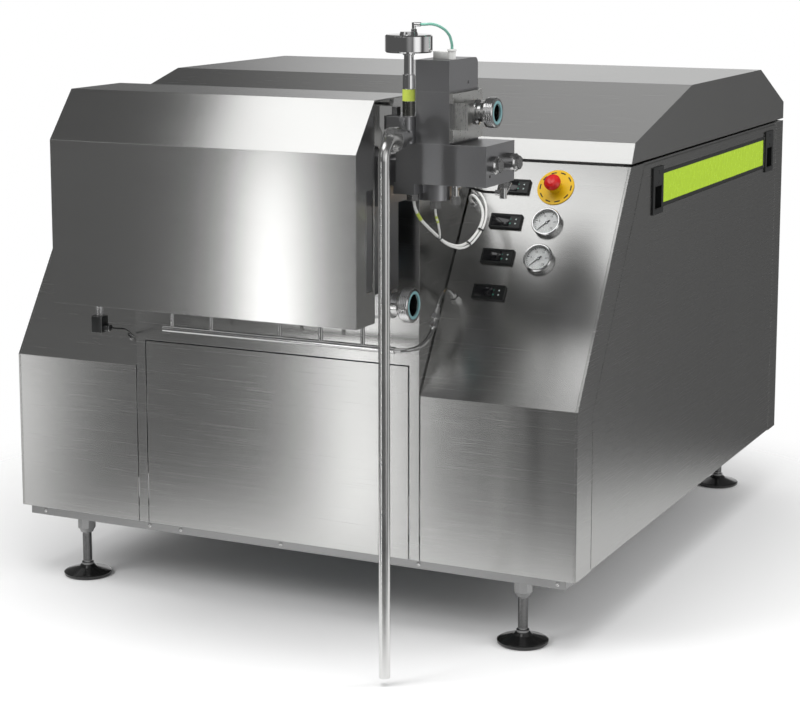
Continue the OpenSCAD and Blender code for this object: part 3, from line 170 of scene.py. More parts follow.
def surfaceFinish(look):
    finish, tree, shader = newFinish(look["name"])
    shader.inputs["Metallic"].default_value = look.get("metal", 0.0)
    shader.inputs["Coat Weight"].default_value = look.get("coat", 0.0)
    shader.inputs["Coat Roughness"].default_value = shading["coatRough"]
    if look.get("brushed", 0):
        shader.inputs["Anisotropic"].default_value = look["brushed"]
        shader.inputs["Anisotropic Rotation"].default_value = shading["brushTurn"]
        surface = addNode(tree, "ShaderNodeNewGeometry")
        brushLine = addNode(tree, "ShaderNodeVectorMath", operation="CROSS_PRODUCT")
        brushLine.inputs[1].default_value = shading["brushAxis"]
        tree.links.new(surface.outputs["Normal"], brushLine.inputs[0])
        tree.links.new(brushLine.outputs["Vector"], shader.inputs["Tangent"])
    grain = objectNoise(tree, look["grain"])
    spread = look["spread"]
    color = shadeRamp(tree, grain, tinted(look["tint"], 1 - spread), tinted(look["tint"], 1 + spread))
    if look.get("smudge", 0):
        clouds = objectNoise(tree, shading["cloudGrain"], shading["cloudDetail"])
        blend = addNode(tree, "ShaderNodeMix", data_type="RGBA", blend_type="MULTIPLY")
        blend.inputs["Factor"].default_value = look["smudge"]
        tree.links.new(color, blend.inputs["A"])
        tree.links.new(shadeRamp(tree, clouds, shading["cloudShade"], (1, 1, 1)), blend.inputs["B"])
        color = blend.outputs["Result"]
    tree.links.new(color, shader.inputs["Base Color"])
    tree.links.new(spanned(tree, grain, *look["rough"]), shader.inputs["Roughness"])
    relief(tree, shader, grain, look["depth"], look["edge"])
    return finish


level = (4, 4, 1300)  # grain drawn level along a wall
crosswise = (4, 1300, 1300)  # grain drawn along X
turned = (500, 500, 500)  # fine even grain of turned parts
steelTint = (0.57, 0.57, 0.56)
finishLooks = {
    "sheetSteel": {"tint": steelTint, "spread": 0.025, "rough": (0.22, 0.28), "grain": level,
                   "depth": 0.000002, "edge": 0.0014, "metal": 1.0, "smudge": 0.06, "brushed": 0.6},
    "panelSteel": {"tint": steelTint, "spread": 0.025, "rough": (0.22, 0.28), "grain": level,
                   "depth": 0.000002, "edge": 0.0014, "metal": 1.0, "smudge": 0.06, "brushed": 0.5},
    "doorSteel": {"tint": (0.5, 0.5, 0.49), "spread": 0.015, "rough": (0.25, 0.28), "grain": level,
                  "depth": 0.000001, "edge": 0.0014, "metal": 1.0, "smudge": 0.08, "brushed": 0.5},
    "hoodSteel": {"tint": (0.6, 0.6, 0.59), "spread": 0.025, "rough": (0.22, 0.28), "grain": crosswise,
                  "depth": 0.000002, "edge": 0.0014, "metal": 1.0, "smudge": 0.06, "brushed": 0.4},
    "coverSteel": {"tint": (0.62, 0.62, 0.61), "spread": 0.05, "rough": (0.2, 0.26), "grain": crosswise,
                   "depth": 0.000003, "edge": 0.0014, "metal": 1.0, "smudge": 0.05, "brushed": 0.7},
    "frameSteel": {"tint": (0.36, 0.36, 0.36), "spread": 0.06, "rough": (0.3, 0.42), "grain": crosswise,
                   "depth": 0.00004, "edge": 0.003, "metal": 1.0},
    "footSteel": {"tint": (0.24, 0.24, 0.24), "spread": 0.06, "rough": (0.16, 0.26), "grain": turned,
                  "depth": 0.00003, "edge": 0.001, "metal": 1.0},
    "blockSteel": {"tint": (0.42, 0.42, 0.43), "spread": 0.03, "rough": (0.3, 0.38),
                   "grain": (160, 160, 600), "depth": 0.000004, "edge": 0.0015, "metal": 1.0,
                   "smudge": 0.1},
    "plateSteel": {"tint": (0.72, 0.72, 0.7), "spread": 0.05, "rough": (0.24, 0.36),
                   "grain": (700, 60, 60), "depth": 0.00003, "edge": 0.001, "metal": 1.0},
    "brightSteel": {"tint": (0.66, 0.66, 0.655), "spread": 0.05, "rough": (0.12, 0.22), "grain": turned,
                    "depth": 0.00003, "edge": 0.001, "metal": 1.0},
    "pipeSteel": {"tint": (0.74, 0.74, 0.73), "spread": 0.04, "rough": (0.18, 0.28),
                  "grain": (90, 90, 12), "depth": 0.00003, "edge": 0.0, "metal": 1.0},
    "polishedSteel": {"tint": (0.78, 0.78, 0.78), "spread": 0.03, "rough": (0.05, 0.1), "grain": turned,
                      "depth": 0.00002, "edge": 0.0008, "metal": 1.0},
    "darkSleeve": {"tint": (0.12, 0.12, 0.11), "spread": 0.08, "rough": (0.2, 0.3), "grain": turned,
                   "depth": 0.00002, "edge": 0.0005, "metal": 0.9},
    "casePaint": {"tint": (0.12, 0.16, 0.18), "spread": 0.1, "rough": (0.35, 0.5), "grain": (90, 90, 90),
                  "depth": 0.0003, "edge": 0.004, "coat": 0.2},
    "motorPaint": {"tint": (0.05, 0.1, 0.16), "spread": 0.1, "rough": (0.35, 0.5),
                   "grain": (120, 120, 120), "depth": 0.0002, "edge": 0.002, "coat": 0.2},
    "castIron": {"tint": (0.14, 0.14, 0.145), "spread": 0.12, "rough": (0.4, 0.6),
                 "grain": (200, 200, 200), "depth": 0.0002, "edge": 0.001, "metal": 0.8},
    "blackRubber": {"tint": (0.012, 0.012, 0.012), "spread": 0.3, "rough": (0.35, 0.5),
                    "grain": (400, 400, 400), "depth": 0.0001, "edge": 0.001},
    "padRubber": {"tint": (0.012, 0.012, 0.012), "spread": 0.2, "rough": (0.14, 0.2),
                  "grain": (300, 300, 300), "depth": 0.00004, "edge": 0.001, "coat": 0.5},
    "blackPlastic": {"tint": (0.012, 0.013, 0.013), "spread": 0.2, "rough": (0.3, 0.42),
                     "grain": (900, 900, 900), "depth": 0.00008, "edge": 0.001},
    "yellowPlastic": {"tint": (0.66, 0.4, 0.002), "spread": 0.05, "rough": (0.35, 0.5),
                      "grain": (300, 300, 300), "depth": 0.00005, "edge": 0.0008},
    "redPlastic": {"tint": (0.54, 0.012, 0.012), "spread": 0.06, "rough": (0.2, 0.3),
                   "grain": (260, 260, 260), "depth": 0.00005, "edge": 0.0006, "coat": 0.4},
    "limeAcrylic": {"tint": (0.5, 0.74, 0.03), "spread": 0.04, "rough": (0.22, 0.3),
                    "grain": (60, 60, 60), "depth": 0.00002, "edge": 0.0008, "coat": 0.15},
    "dialWhite": {"tint": (0.9, 0.9, 0.89), "spread": 0.03, "rough": (0.5, 0.6), "grain": (300, 300, 300),
                  "depth": 0.00002, "edge": 0.0},
    "dialInk": {"tint": (0.015, 0.015, 0.015), "spread": 0.2, "rough": (0.45, 0.6),
                "grain": (400, 400, 400), "depth": 0.00002, "edge": 0.0},
    "displayBlack": {"tint": (0.006, 0.006, 0.007), "spread": 0.2, "rough": (0.08, 0.14),
                     "grain": (200, 200, 200), "depth": 0.00001, "edge": 0.0, "coat": 0.5},
    "keyGreen": {"tint": (0.05, 0.2, 0.15), "spread": 0.1, "rough": (0.3, 0.4), "grain": (400, 400, 400),
                 "depth": 0.00002, "edge": 0.0},
    "keyWhite": {"tint": (0.5, 0.58, 0.56), "spread": 0.04, "rough": (0.4, 0.5), "grain": (400, 400, 400),
                 "depth": 0.00002, "edge": 0.0},
    "tealSeal": {"tint": (0.2, 0.38, 0.4), "spread": 0.1, "rough": (0.35, 0.5), "grain": (300, 300, 300),
                 "depth": 0.00006, "edge": 0.0006},
    "whiteNylon": {"tint": (0.8, 0.8, 0.78), "spread": 0.04, "rough": (0.3, 0.42),
                   "grain": (300, 300, 300), "depth": 0.00005, "edge": 0.0006},
    "whiteSheath": {"tint": (0.78, 0.78, 0.76), "spread": 0.05, "rough": (0.38, 0.5),
                    "grain": (220, 220, 220), "depth": 0.00008, "edge": 0.0},
    "blackSheath": {"tint": (0.012, 0.012, 0.012), "spread": 0.2, "rough": (0.35, 0.48),
                    "grain": (220, 220, 220), "depth": 0.00008, "edge": 0.0},
    "limeSleeve": {"tint": (0.5, 0.6, 0.08), "spread": 0.06, "rough": (0.4, 0.5),
                   "grain": (220, 220, 220), "depth": 0.00008, "edge": 0.0},
}
finishes = {name: surfaceFinish({"name": name, **look}) for name, look in finishLooks.items()}


# clear finishes: the air tube's tinted plastic and the gauges' glass
clearLooks = {
    "mintTube": {"clear": 0.35, "ior": 1.4, "grain": (200, 200, 200), "deep": (0.25, 0.6, 0.48),
                 "pale": (0.36, 0.72, 0.6), "rough": (0.18, 0.28)},
    "gaugeLens": {"clear": 1.0, "ior": 1.3, "grain": (40, 40, 40), "tint": (0.97, 0.98, 0.98, 1),
                  "rough": (0.0, 0.02)},
}


def clearFinish(name, look):
    finish, tree, shader = newFinish(name)
    shader.inputs["Transmission Weight"].default_value = look["clear"]
    shader.inputs["IOR"].default_value = look["ior"]
    grain = objectNoise(tree, look["grain"])
    if "tint" in look:
        shader.inputs["Base Color"].default_value = look["tint"]
    else:
        tree.links.new(shadeRamp(tree, grain, look["deep"], look["pale"]), shader.inputs["Base Color"])
    tree.links.new(spanned(tree, grain, *look["rough"]), shader.inputs["Roughness"])
    return finish


for clearName, clearLook in clearLooks.items():
    finishes[clearName] = clearFinish(clearName, clearLook)

# which finish each CAD node shows
nodeFinishes = {
    "sheetSteel": ["pump_box"],
    "panelSteel": ["left_front_panel", "right_front_panel", "centre_front_panel"],
    "doorSteel": ["left_side_wall", "right_side_wall", "left_side_door", "right_side_door", "rear_panel"],
    "hoodSteel": ["hood"],
    "coverSteel": ["pump_cover"],
    "frameSteel": ["machine_frame"],
    "footSteel": ["foot_stems"],
    "blockSteel": ["pump_block", "valve_lower_block", "valve_middle_block", "valve_upper_block",
                   "relief_body"],
    "plateSteel": ["outlet_block"],
    "brightSteel": ["suction_manifold", "inlet_union", "outlet_union", "pump_valve_caps", "plunger_glands",
                    "relief_union", "valve_fittings", "cooling_pipe", "cooling_fittings", "cover_hinges",
                    "pump_sensor"],
    "pipeSteel": ["relief_pipe"],
    "polishedSteel": ["valve_spindle", "valve_actuator", "air_fittings", "gauge_cases", "cable_glands",
                      "left_plunger", "centre_plunger", "right_plunger"],
    "casePaint": ["crankcase"],
    "motorPaint": ["drive_motor"],
    "castIron": ["motor_shaft", "input_shaft"],
    "blackRubber": ["drive_belts"],
    "padRubber": ["foot_pads"],
    "blackPlastic": ["controllers", "left_door_grips", "right_door_grips"],
    "dialWhite": ["gauge_dials"],
    "dialInk": ["upper_gauge_needle", "lower_gauge_needle"],
    "yellowPlastic": ["estop_plate"],
    "redPlastic": ["estop_button"],
    "limeAcrylic": ["left_accent_strip", "right_accent_strip"],
}
for finishName, members in nodeFinishes.items():
    for member in members:
        nodes[member].data.materials.clear()
        nodes[member].data.materials.append(finishes[finishName])
print("finishes made:", len(finishes))

# free cords: route points in cabinet millimetres
cords = {
    "air_tube_line": {
        "node": "air_tube", "d": 6, "finish": "mintTube", "slot": "mint_tube", "stiffness": "stiff",
        "route": [(454, -190, 1427), (461, -190, 1427), (468, -189, 1427.5), (475, -187, 1428),
                  (482, -184, 1427), (488, -180, 1425), (493, -176, 1422), (498, -171, 1418),
                  (502, -166, 1413), (505, -161, 1407), (507, -157, 1401), (508, -154, 1394),
                  (509, -152, 1387), (509, -150, 1380), (509, -150, 1374)]},
    "sensor_cable_line": {
        "node": "sensor_cable", "d": 7, "finish": "whiteSheath", "slot": "white_cable",
        "stiffness": "medium",
        "route": [(402, -112, 1046), (402, -112, 1038), (402, -109, 1026), (403, -98, 1009),
                  (405, -80, 991), (408, -58, 975), (411, -35, 960), (414, -11, 945), (419, 11, 931),
                  (427, 34, 921), (436, 57, 916), (445, 79, 920), (452, 100, 931), (456, 121, 946),
                  (456, 141, 963), (450, 160, 980), (438, 176, 995), (423, 190, 1006), (408, 204, 1012),
                  (396, 217, 1010), (388, 229, 1003.5), (384, 238.319, 997.977),
                  (384, 245.884, 993.101)]},
    "branch_cable_line": {
        "node": "branch_cable", "d": 5, "finish": "whiteSheath", "slot": "white_cable",
        "stiffness": "medium",
        "route": [(461, -128, 1026), (461, -128, 1019), (461, -124, 1008), (458, -108, 993),
                  (450, -86, 979), (441, -62, 966), (430, -36, 953), (420, -11, 941), (425, 11, 926),
                  (433, 34, 916), (442, 57, 911), (452, 79, 916), (459, 100, 928), (463, 121, 944),
                  (463, 142, 962), (458, 162, 983), (447, 180, 1001), (431, 197, 1015), (413, 213, 1024),
                  (399, 229, 1026.5), (389.5, 241.5, 1023), (384, 251.321, 1018.149),
                  (384, 258.886, 1013.274)]},
    "sensor_lead_line": {
        "node": "sensor_lead", "d": 6, "finish": "blackSheath", "slot": "black_cable",
        "stiffness": "medium",
        "route": [(496, -66, 1071), (503, -66, 1071), (510, -66, 1070), (517, -66, 1068),
                  (524, -66, 1066), (531, -66, 1064), (538, -66, 1062), (545, -66, 1061),
                  (553, -66, 1060), (561, -66, 1060), (569, -66, 1060), (577, -66, 1060)]},
    "plug_lead_line": {
        "node": "plug_lead", "d": 4, "finish": "blackSheath", "slot": "black_cable",
        "stiffness": "medium",
        "route": [(-353, -180, 702), (-346, -180, 702), (-339, -177.5, 701.5), (-333.5, -172, 700.5),
                  (-331, -164, 699), (-331.5, -154, 696.5), (-334, -142, 692), (-338, -128, 687),
                  (-344, -111, 680), (-351, -93, 673), (-360, -74, 666), (-371, -55, 660),
                  (-384, -36, 656), (-398, -17, 653), (-412, 0, 651), (-425, 14, 648.5),
                  (-434.5, 21.5, 645), (-440, 29.163, 640.243), (-440, 35.887, 635.909)]},
}


def makeCord(name, cord):
    points = [cab(*point) for point in cord["route"]]
    curve = bpy.data.curves.new(name, "CURVE")
    curve.dimensions = "3D"
    curve.bevel_depth = cord["d"] * mm / 2
    curve.bevel_resolution = 4
    curve.resolution_u = 6
    curve.use_fill_caps = True
    line = curve.splines.new("BEZIER")
    line.bezier_points.add(len(points) - 1)
    for knot, point in zip(line.bezier_points, points):
        knot.co = point
        knot.handle_left_type = "AUTO"
        knot.handle_right_type = "AUTO"
    curve.materials.append(finishes[cord["finish"]])
    piece = bpy.data.objects.new(name, curve)
    bpy.context.scene.collection.objects.link(piece)
    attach(piece, "machine")
    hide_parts(cord["node"])


for cordName, cord in cords.items():
    makeCord(cordName, cord)
print("cords made:", len(cords))


# mesh tools: each adds a shape to a bmesh, sized in millimetres, at a placing matrix
def island(starts):
    found = set(starts)
    waiting = list(starts)
    while waiting:
        for edge in waiting.pop().link_edges:
            for vert in edge.verts:
                if vert not in found:
                    found.add(vert)
                    waiting.append(vert)
    return list(found)


# profile of (radius, height) turned about local Z: closed, or open from pole to pole
def lathe(bm, place, profile, steps):
    rim = [bm.verts.new((radius * mm, 0, height * mm)) for radius, height in profile]
    pairs = list(zip(rim, rim[1:]))
    if profile[0][0] > 0:
        pairs.append((rim[-1], rim[0]))
    edges = [bm.edges.new(pair) for pair in pairs]
    bmesh.ops.spin(bm, geom=rim + edges, cent=(0, 0, 0), axis=(0, 0, 1), dvec=(0, 0, 0), angle=2 * math.pi,
                   steps=steps, use_merge=True, use_duplicate=False)
    verts = island([vert for vert in rim if vert.is_valid])
    bmesh.ops.remove_doubles(bm, verts=verts, dist=1e-6)
    verts = [vert for vert in verts if vert.is_valid]
    bmesh.ops.transform(bm, matrix=place, verts=verts)


# box with softened edges, centred on the placing matrix
def slab(bm, place, size, soft=0.0):
    verts = bmesh.ops.create_cube(bm, size=mm)["verts"]
    bmesh.ops.scale(bm, vec=size, verts=verts)
    bmesh.ops.transform(bm, matrix=place, verts=verts)
    if soft > 0:
        edges = list({edge for vert in verts for edge in vert.link_edges})
        bmesh.ops.bevel(bm, geom=edges, offset=soft * mm, segments=2, profile=0.5, affect="EDGES",
                        material=-1)


# prism standing on the placing matrix, given across its flats
def prism(bm, place, flats, height, sides):
    radius = flats / 2 / math.cos(math.pi / sides) * mm
    verts = bmesh.ops.create_cone(bm, cap_ends=True, segments=sides, radius1=radius, radius2=radius,
                                  depth=height * mm)["verts"]
    bmesh.ops.translate(bm, vec=(0, 0, height * mm / 2), verts=verts)
    bmesh.ops.transform(bm, matrix=place, verts=verts)


# flat frame centred on the placing matrix: outer width and height, wall and thickness
def border(bm, place, size, wall, thick):
    verts = bmesh.ops.create_grid(bm, x_segments=1, y_segments=1, size=0.5 * mm)["verts"]
    bmesh.ops.scale(bm, vec=(*size, 1), verts=verts)
    middle = verts[0].link_faces[0]
    bmesh.ops.inset_region(bm, faces=[middle], thickness=wall * mm, use_boundary=True, use_even_offset=True)
    faces = {face for vert in island(verts) for face in vert.link_faces}
    rims = [face for face in faces if face is not middle]
    bmesh.ops.delete(bm, geom=[middle], context="FACES_ONLY")
    raised = bmesh.ops.extrude_face_region(bm, geom=rims, use_keep_orig=True)["geom"]
    lifted = [item for item in raised if isinstance(item, bmesh.types.BMVert)]
    bmesh.ops.translate(bm, vec=(0, 0, thick * mm), verts=lifted)
    bmesh.ops.transform(bm, matrix=place, verts=island(lifted))


# part of a ring from angle start to end in degrees, lying on the placing matrix
def arcPlate(bm, place, ring, start, end, thick, steps):
    inner, outer = ring
    turn = Matrix.Rotation(math.radians(start), 3, "Z")
    corners = [(inner, 0), (outer, 0), (outer, thick), (inner, thick)]
    rim = [bm.verts.new(turn @ Vector((radius * mm, 0, height * mm))) for radius, height in corners]
    side = bm.faces.new(rim)
    made = bmesh.ops.spin(bm, geom=[side], cent=(0, 0, 0), axis=(0, 0, 1), dvec=(0, 0, 0),
                          angle=math.radians(end - start), steps=steps, use_duplicate=False)
    last = [item for item in made["geom_last"] if isinstance(item, bmesh.types.BMVert)]
    bmesh.ops.transform(bm, matrix=place, verts=island(last))


def letters(bm, place, words, size, thick):
    curve = bpy.data.curves.new("words", "FONT")
    curve.body = words
    curve.size = size * mm
    curve.extrude = thick / 2 * mm
    curve.align_x = "CENTER"
    curve.align_y = "CENTER"
    curve.resolution_u = 3
    holder = bpy.data.objects.new("words", curve)
    bpy.context.scene.collection.objects.link(holder)
    mesh = bpy.data.meshes.new_from_object(holder)
    mesh.transform(place @ Matrix.Translation((0, 0, thick / 2 * mm)))
    bm.from_mesh(mesh)
    bpy.data.objects.remove(holder)
    bpy.data.curves.remove(curve)
    bpy.data.meshes.remove(mesh)


creaseAngle = 35  # edges sharper than this stay crisp


def makePiece(name, bm, finish, body="machine"):
    bmesh.ops.remove_doubles(bm, verts=bm.verts, dist=1e-7)
    bmesh.ops.recalc_face_normals(bm, faces=bm.faces)
    mesh = bpy.data.meshes.new(name)
    bm.to_mesh(mesh)
    bm.free()
    mesh.shade_smooth()
    mesh.set_sharp_from_angle(angle=math.radians(creaseAngle))
    mesh.materials.append(finishes[finish])
    piece = bpy.data.objects.new(name, mesh)
    bpy.context.scene.collection.objects.link(piece)
    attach(piece, body)


# pressure gauges: printed scale on the dial and a flat glass
gauge = {"x": 577, "upper": 452, "lower": 360, "dialOut": 5.5, "ink": 0.15, "sweepFrom": 225, "sweep": 270,
         "ticks": 25, "ticksEach": 5, "tickOuter": 28.2, "longTick": 5.4, "shortTick": 3.2, "longWide": 1.5,
         "shortWide": 0.8, "scaleLine": 0.5, "numbers": ["0", "5", "10", "15", "20", "25"],
         "numberSize": 6.4, "numberRing": 18.2, "lensRadius": 30.8, "lensFrom": 11.0, "lensThick": 1.6,
         "lensEdge": (0.6, 0.4)}


def makeGauges():
    start, sweep, outer, ink = gauge["sweepFrom"], gauge["sweep"], gauge["tickOuter"], gauge["ink"]
    for name in ("upper", "lower"):
        face = onSlope(gauge["x"], gauge[name], gauge["dialOut"])
        bm = bmesh.new()
        for tick in range(gauge["ticks"] + 1):
            isLong = tick % gauge["ticksEach"] == 0
            reach = gauge["longTick"] if isLong else gauge["shortTick"]
            wide = gauge["longWide"] if isLong else gauge["shortWide"]
            spoke = shifted(face, spin=start - sweep * tick / gauge["ticks"])
            slab(bm, shifted(spoke, x=outer - reach / 2, z=ink / 2), (reach, wide, ink))
        arcPlate(bm, face, (outer, outer + gauge["scaleLine"]), start - sweep, start, ink, 48)
        for index, number in enumerate(gauge["numbers"]):
            angle = math.radians(start - sweep * index / (len(gauge["numbers"]) - 1))
            across = gauge["numberRing"] * math.cos(angle)
            up = gauge["numberRing"] * math.sin(angle)
            letters(bm, shifted(face, across, up), number, gauge["numberSize"], ink)
        makePiece(name + "_gauge_scale", bm, "dialInk")
        glass = bmesh.new()
        pane = onSlope(gauge["x"], gauge[name], gauge["lensFrom"])
        radius, thick = gauge["lensRadius"], gauge["lensThick"]
        inset, chamfer = gauge["lensEdge"]
        rim = [(radius, 0), (radius, thick - chamfer), (radius - inset, thick)]
        lathe(glass, pane, [(0, 0), *rim, (0, thick)], 64)
        makePiece(name + "_gauge_glass", glass, "gaugeLens")


makeGauges()

# panel controllers: dark display panes, key marks and a raised rim
controller = {"x": 474, "rows": [268, 359, 450, 541], "paneAt": (-12.5, 0, 6.8), "pane": (46, 25, 0.6),
              "paneSoft": 0.15, "keyOut": 7.1, "keyColumns": (13, 26), "keyRows": (-6, 5),
              "markThick": 0.25, "arrow": 2.5, "dot": 4.0, "diamond": 2.25, "rim": (77, 35), "rimWall": 1.6,
              "rimOut": 8.0, "rimThick": 0.5}


def makeControllers():
    panes = bmesh.new()
    arrows = bmesh.new()
    dots = bmesh.new()
    rims = bmesh.new()
    left, right = controller["keyColumns"]
    low, high = controller["keyRows"]
    keyOut, thick = controller["keyOut"], controller["markThick"]
    for row in controller["rows"]:
        face = onSlope(controller["x"], row)
        slab(panes, shifted(face, *controller["paneAt"]), controller["pane"], controller["paneSoft"])
        prism(arrows, shifted(face, right, high, keyOut, 90), controller["arrow"], thick, 3)
        prism(arrows, shifted(face, right, low, keyOut, -90), controller["arrow"], thick, 3)
        prism(dots, shifted(face, left, low, keyOut), controller["dot"], thick, 16)
        prism(dots, shifted(face, left, high, keyOut), controller["diamond"], thick, 4)
        border(rims, shifted(face, z=controller["rimOut"]), controller["rim"], controller["rimWall"],
               controller["rimThick"])
    makePiece("controller_panes", panes, "displayBlack")
    makePiece("controller_arrows", arrows, "keyWhite")
    makePiece("controller_dots", dots, "keyGreen")
    makePiece("controller_rims", rims, "blackPlastic")


makeControllers()

# stop button: plain printed dashes round the disc
stopButton = {"x": 577, "s": 546, "discOut": 2.0, "dashes": 10, "dashSpan": 20, "dashRing": (36.5, 39.5),
              "dashSteps": 8, "ink": 0.15}


def makeStopButton():
    bm = bmesh.new()
    disc = onSlope(stopButton["x"], stopButton["s"], stopButton["discOut"])
    half = stopButton["dashSpan"] / 2
    for index in range(stopButton["dashes"]):
        middle = 360 * index / stopButton["dashes"]
        arcPlate(bm, disc, stopButton["dashRing"], middle - half, middle + half, stopButton["ink"],
                 stopButton["dashSteps"])
    makePiece("stop_disc_dashes", bm, "dialInk")


makeStopButton()
print("instruments dressed")

# side doors: black frame round each lime strip, and the grips' screws and finger lips
door = {"stripY": 1011, "stripZ": 1008, "frame": (902, 88), "frameWall": 8.6, "frameFrom": 747.3,
        "frameThick": 2.3, "gripOff": 491.5, "gripOut": 752, "screwRises": (45, 19),
        "screwHead": [(0, 0.9), (1.5, 0.9), (1.5, 1.6), (2.8, 1.6), (3.6, 0.9), (3.6, 0), (0, 0)],
        "lipFrom": 752.5, "lip": (53.4, 58.4), "lipMid": -16.5, "lipWall": 2.4, "lipThick": 1.4}


def makeDoors():
    for side, turn in (("left", -1), ("right", 1)):
        outward = (turn, 0, 0)
        flat = along(cab(turn * door["frameFrom"], door["stripY"], door["stripZ"]), outward)
        isTall = abs((flat.to_3x3().inverted() @ Vector((0, 1, 0))).x) < 0.5
        order = -1 if isTall else 1  # width and height change places where the local frame lies on its side
        trim = bmesh.new()
        border(trim, flat, door["frame"][::order], door["frameWall"], door["frameThick"])
        makePiece(side + "_strip_frame", trim, "blackPlastic", side + "_door")
        screws = bmesh.new()
        lips = bmesh.new()
        for end in (-1, 1):
            gripY = door["stripY"] + end * door["gripOff"]
            for rise in door["screwRises"]:
                head = along(cab(turn * door["gripOut"], gripY, door["stripZ"] + rise), outward)
                lathe(screws, head, door["screwHead"], 24)
            rim = along(cab(turn * door["lipFrom"], gripY, door["stripZ"] + door["lipMid"]), outward)
            border(lips, rim, door["lip"][::order], door["lipWall"], door["lipThick"])
        makePiece(side + "_grip_screws", screws, "footSteel", side + "_door")
        makePiece(side + "_grip_lips", lips, "blackRubber", side + "_door")


makeDoors()

# base rail: dome screws along the front face
railScrew = {"y": 3, "z": 171, "places": (-682, -372, -283, -4, 361, 706),
             "head": [(0, 1.2), (2.2, 1.2), (2.2, 2.6), (3.64, 2.21), (4.836, 1.3), (5.2, 0), (0, 0)]}


def makeRailScrews():
    bm = bmesh.new()
    for x in railScrew["places"]:
        lathe(bm, along(cab(x, railScrew["y"], railScrew["z"]), (0, -1, 0)), railScrew["head"], 32)
    makePiece("rail_screws", bm, "brightSteel")


makeRailScrews()

# feet: rolled thread on the four stems
footThread = {"x": 599, "rows": (62, 1593), "from": 36, "turns": 24, "pitch": 3.0, "radius": 11.0,
              "deep": 0.8}
ridge = {"sunk": 0.3, "crest": ((0.28, 0.75), (0.5, 1.0), (0.72, 0.75))}  # shares of pitch and height


# rounded ridge rings standing on a round body
def ridges(bm, place, radius, deep, start, count, pitch, steps):
    for index in range(count):
        low = start + index * pitch
        root = radius - ridge["sunk"]
        crest = [(radius + deep * tall, low + pitch * part) for part, tall in ridge["crest"]]
        lathe(bm, place, [(root, low), *crest, (root, low + pitch)], steps)


def makeFootThreads():
    bm = bmesh.new()
    for x in (-footThread["x"], footThread["x"]):
        for y in footThread["rows"]:
            ridges(bm, upright(x, y), footThread["radius"], footThread["deep"], footThread["from"],
                   footThread["turns"], footThread["pitch"], 28)
    makePiece("foot_threads", bm, "footSteel")


makeFootThreads()

# product unions: round thread and seal ring
unions = {
    "inlet": {"mouth": (387, -78, 797), "thread": 39.0, "turns": 5, "seal": (25.3, 31.7)},
    "outlet": {"mouth": (607, -130, 1240), "thread": 32.5, "turns": 4, "seal": (19.3, 25.7)},
}
unionTrim = {"pitch": 4.2, "threadEnd": -1.0, "threadDeep": 1.0, "sealLow": -3.6, "sealShoulder": -0.4,
             "sealTop": 0.4, "sealChamfer": 1.0}


def makeUnions():
    pitch, cut = unionTrim["pitch"], unionTrim["sealChamfer"]
    low, shoulder, top = unionTrim["sealLow"], unionTrim["sealShoulder"], unionTrim["sealTop"]
    for name, union in unions.items():
        mouth = along(cab(*union["mouth"]), (1, 0, 0))
        threads = bmesh.new()
        start = unionTrim["threadEnd"] - union["turns"] * pitch
        ridges(threads, mouth, union["thread"], unionTrim["threadDeep"], start, union["turns"], pitch, 64)
        makePiece(name + "_union_thread", threads, "polishedSteel")
        inner, outer = union["seal"]
        seal = bmesh.new()
        lathe(seal, mouth, [(inner, low), (outer, low), (outer, shoulder), (outer - cut, top),
                            (inner + cut, top), (inner, shoulder)], 64)
        makePiece(name + "_union_seal", seal, "tealSeal")


makeUnions()

# pressure spindle: dark lower sleeve, lime band and bright rings
spindle = {"x": 426, "y": -190, "radius": 13.0, "sunk": 0.3, "chamfer": (0.3, 0.4), "sleeve": (1232, 1262),
           "sleeveProud": 0.5, "band": (1263.5, 1288.5), "bandProud": 0.8,
           "rings": (1262.7, 1289.4, 1319.5), "ringHigh": 1.6, "ringDeep": 1.1}


def makeSpindle():
    axis = upright(spindle["x"], spindle["y"])
    radius = spindle["radius"]
    inner = radius - spindle["sunk"]
    cut, rise = spindle["chamfer"]
    for name, finish, slot in (("sleeve", "darkSleeve", "polished_steel"),
                               ("band", "limeSleeve", "lime_plastic")):
        bm = bmesh.new()
        low, high = spindle[name]
        outer = radius + spindle[name + "Proud"]
        lathe(bm, axis, [(inner, low), (outer - cut, low), (outer, low + rise), (outer, high - rise),
                         (outer - cut, high), (inner, high)], 56)
        makePiece("spindle_" + name, bm, finish)
    bm = bmesh.new()
    tall = spindle["ringHigh"]
    for middle in spindle["rings"]:
        ridges(bm, axis, radius, spindle["ringDeep"], middle - tall / 2, 1, tall, 56)
    makePiece("spindle_rings", bm, "polishedSteel")


makeSpindle()

# white nylon switch box and air socket on top of the valve
nylon = {"boxLow": (464, -148, 1352), "boxHigh": (500, -118, 1368), "proud": 0.4, "soft": 1.4,
         "socketX": 509, "socketY": -150,
         "socket": [(7.0, 1352.2), (8.0, 1352.2), (8.0, 1369.6), (9.9, 1370.2), (9.9, 1373.4),
                    (9.2, 1374.2), (7.0, 1374.2)]}


def makeNylon():
    bm = bmesh.new()
    low, high = cab(*nylon["boxLow"]), cab(*nylon["boxHigh"])
    size = [side / mm + 2 * nylon["proud"] for side in high - low]
    size[2] -= nylon["proud"]  # the box keeps its foot on the block
    middle = (low + high) / 2 + Vector((0, 0, nylon["proud"] * mm / 2))
    slab(bm, Matrix.Translation(middle), size, nylon["soft"])
    lathe(bm, upright(nylon["socketX"], nylon["socketY"]), nylon["socket"], 40)
    makePiece("valve_nylon_caps", bm, "whiteNylon")


makeNylon()

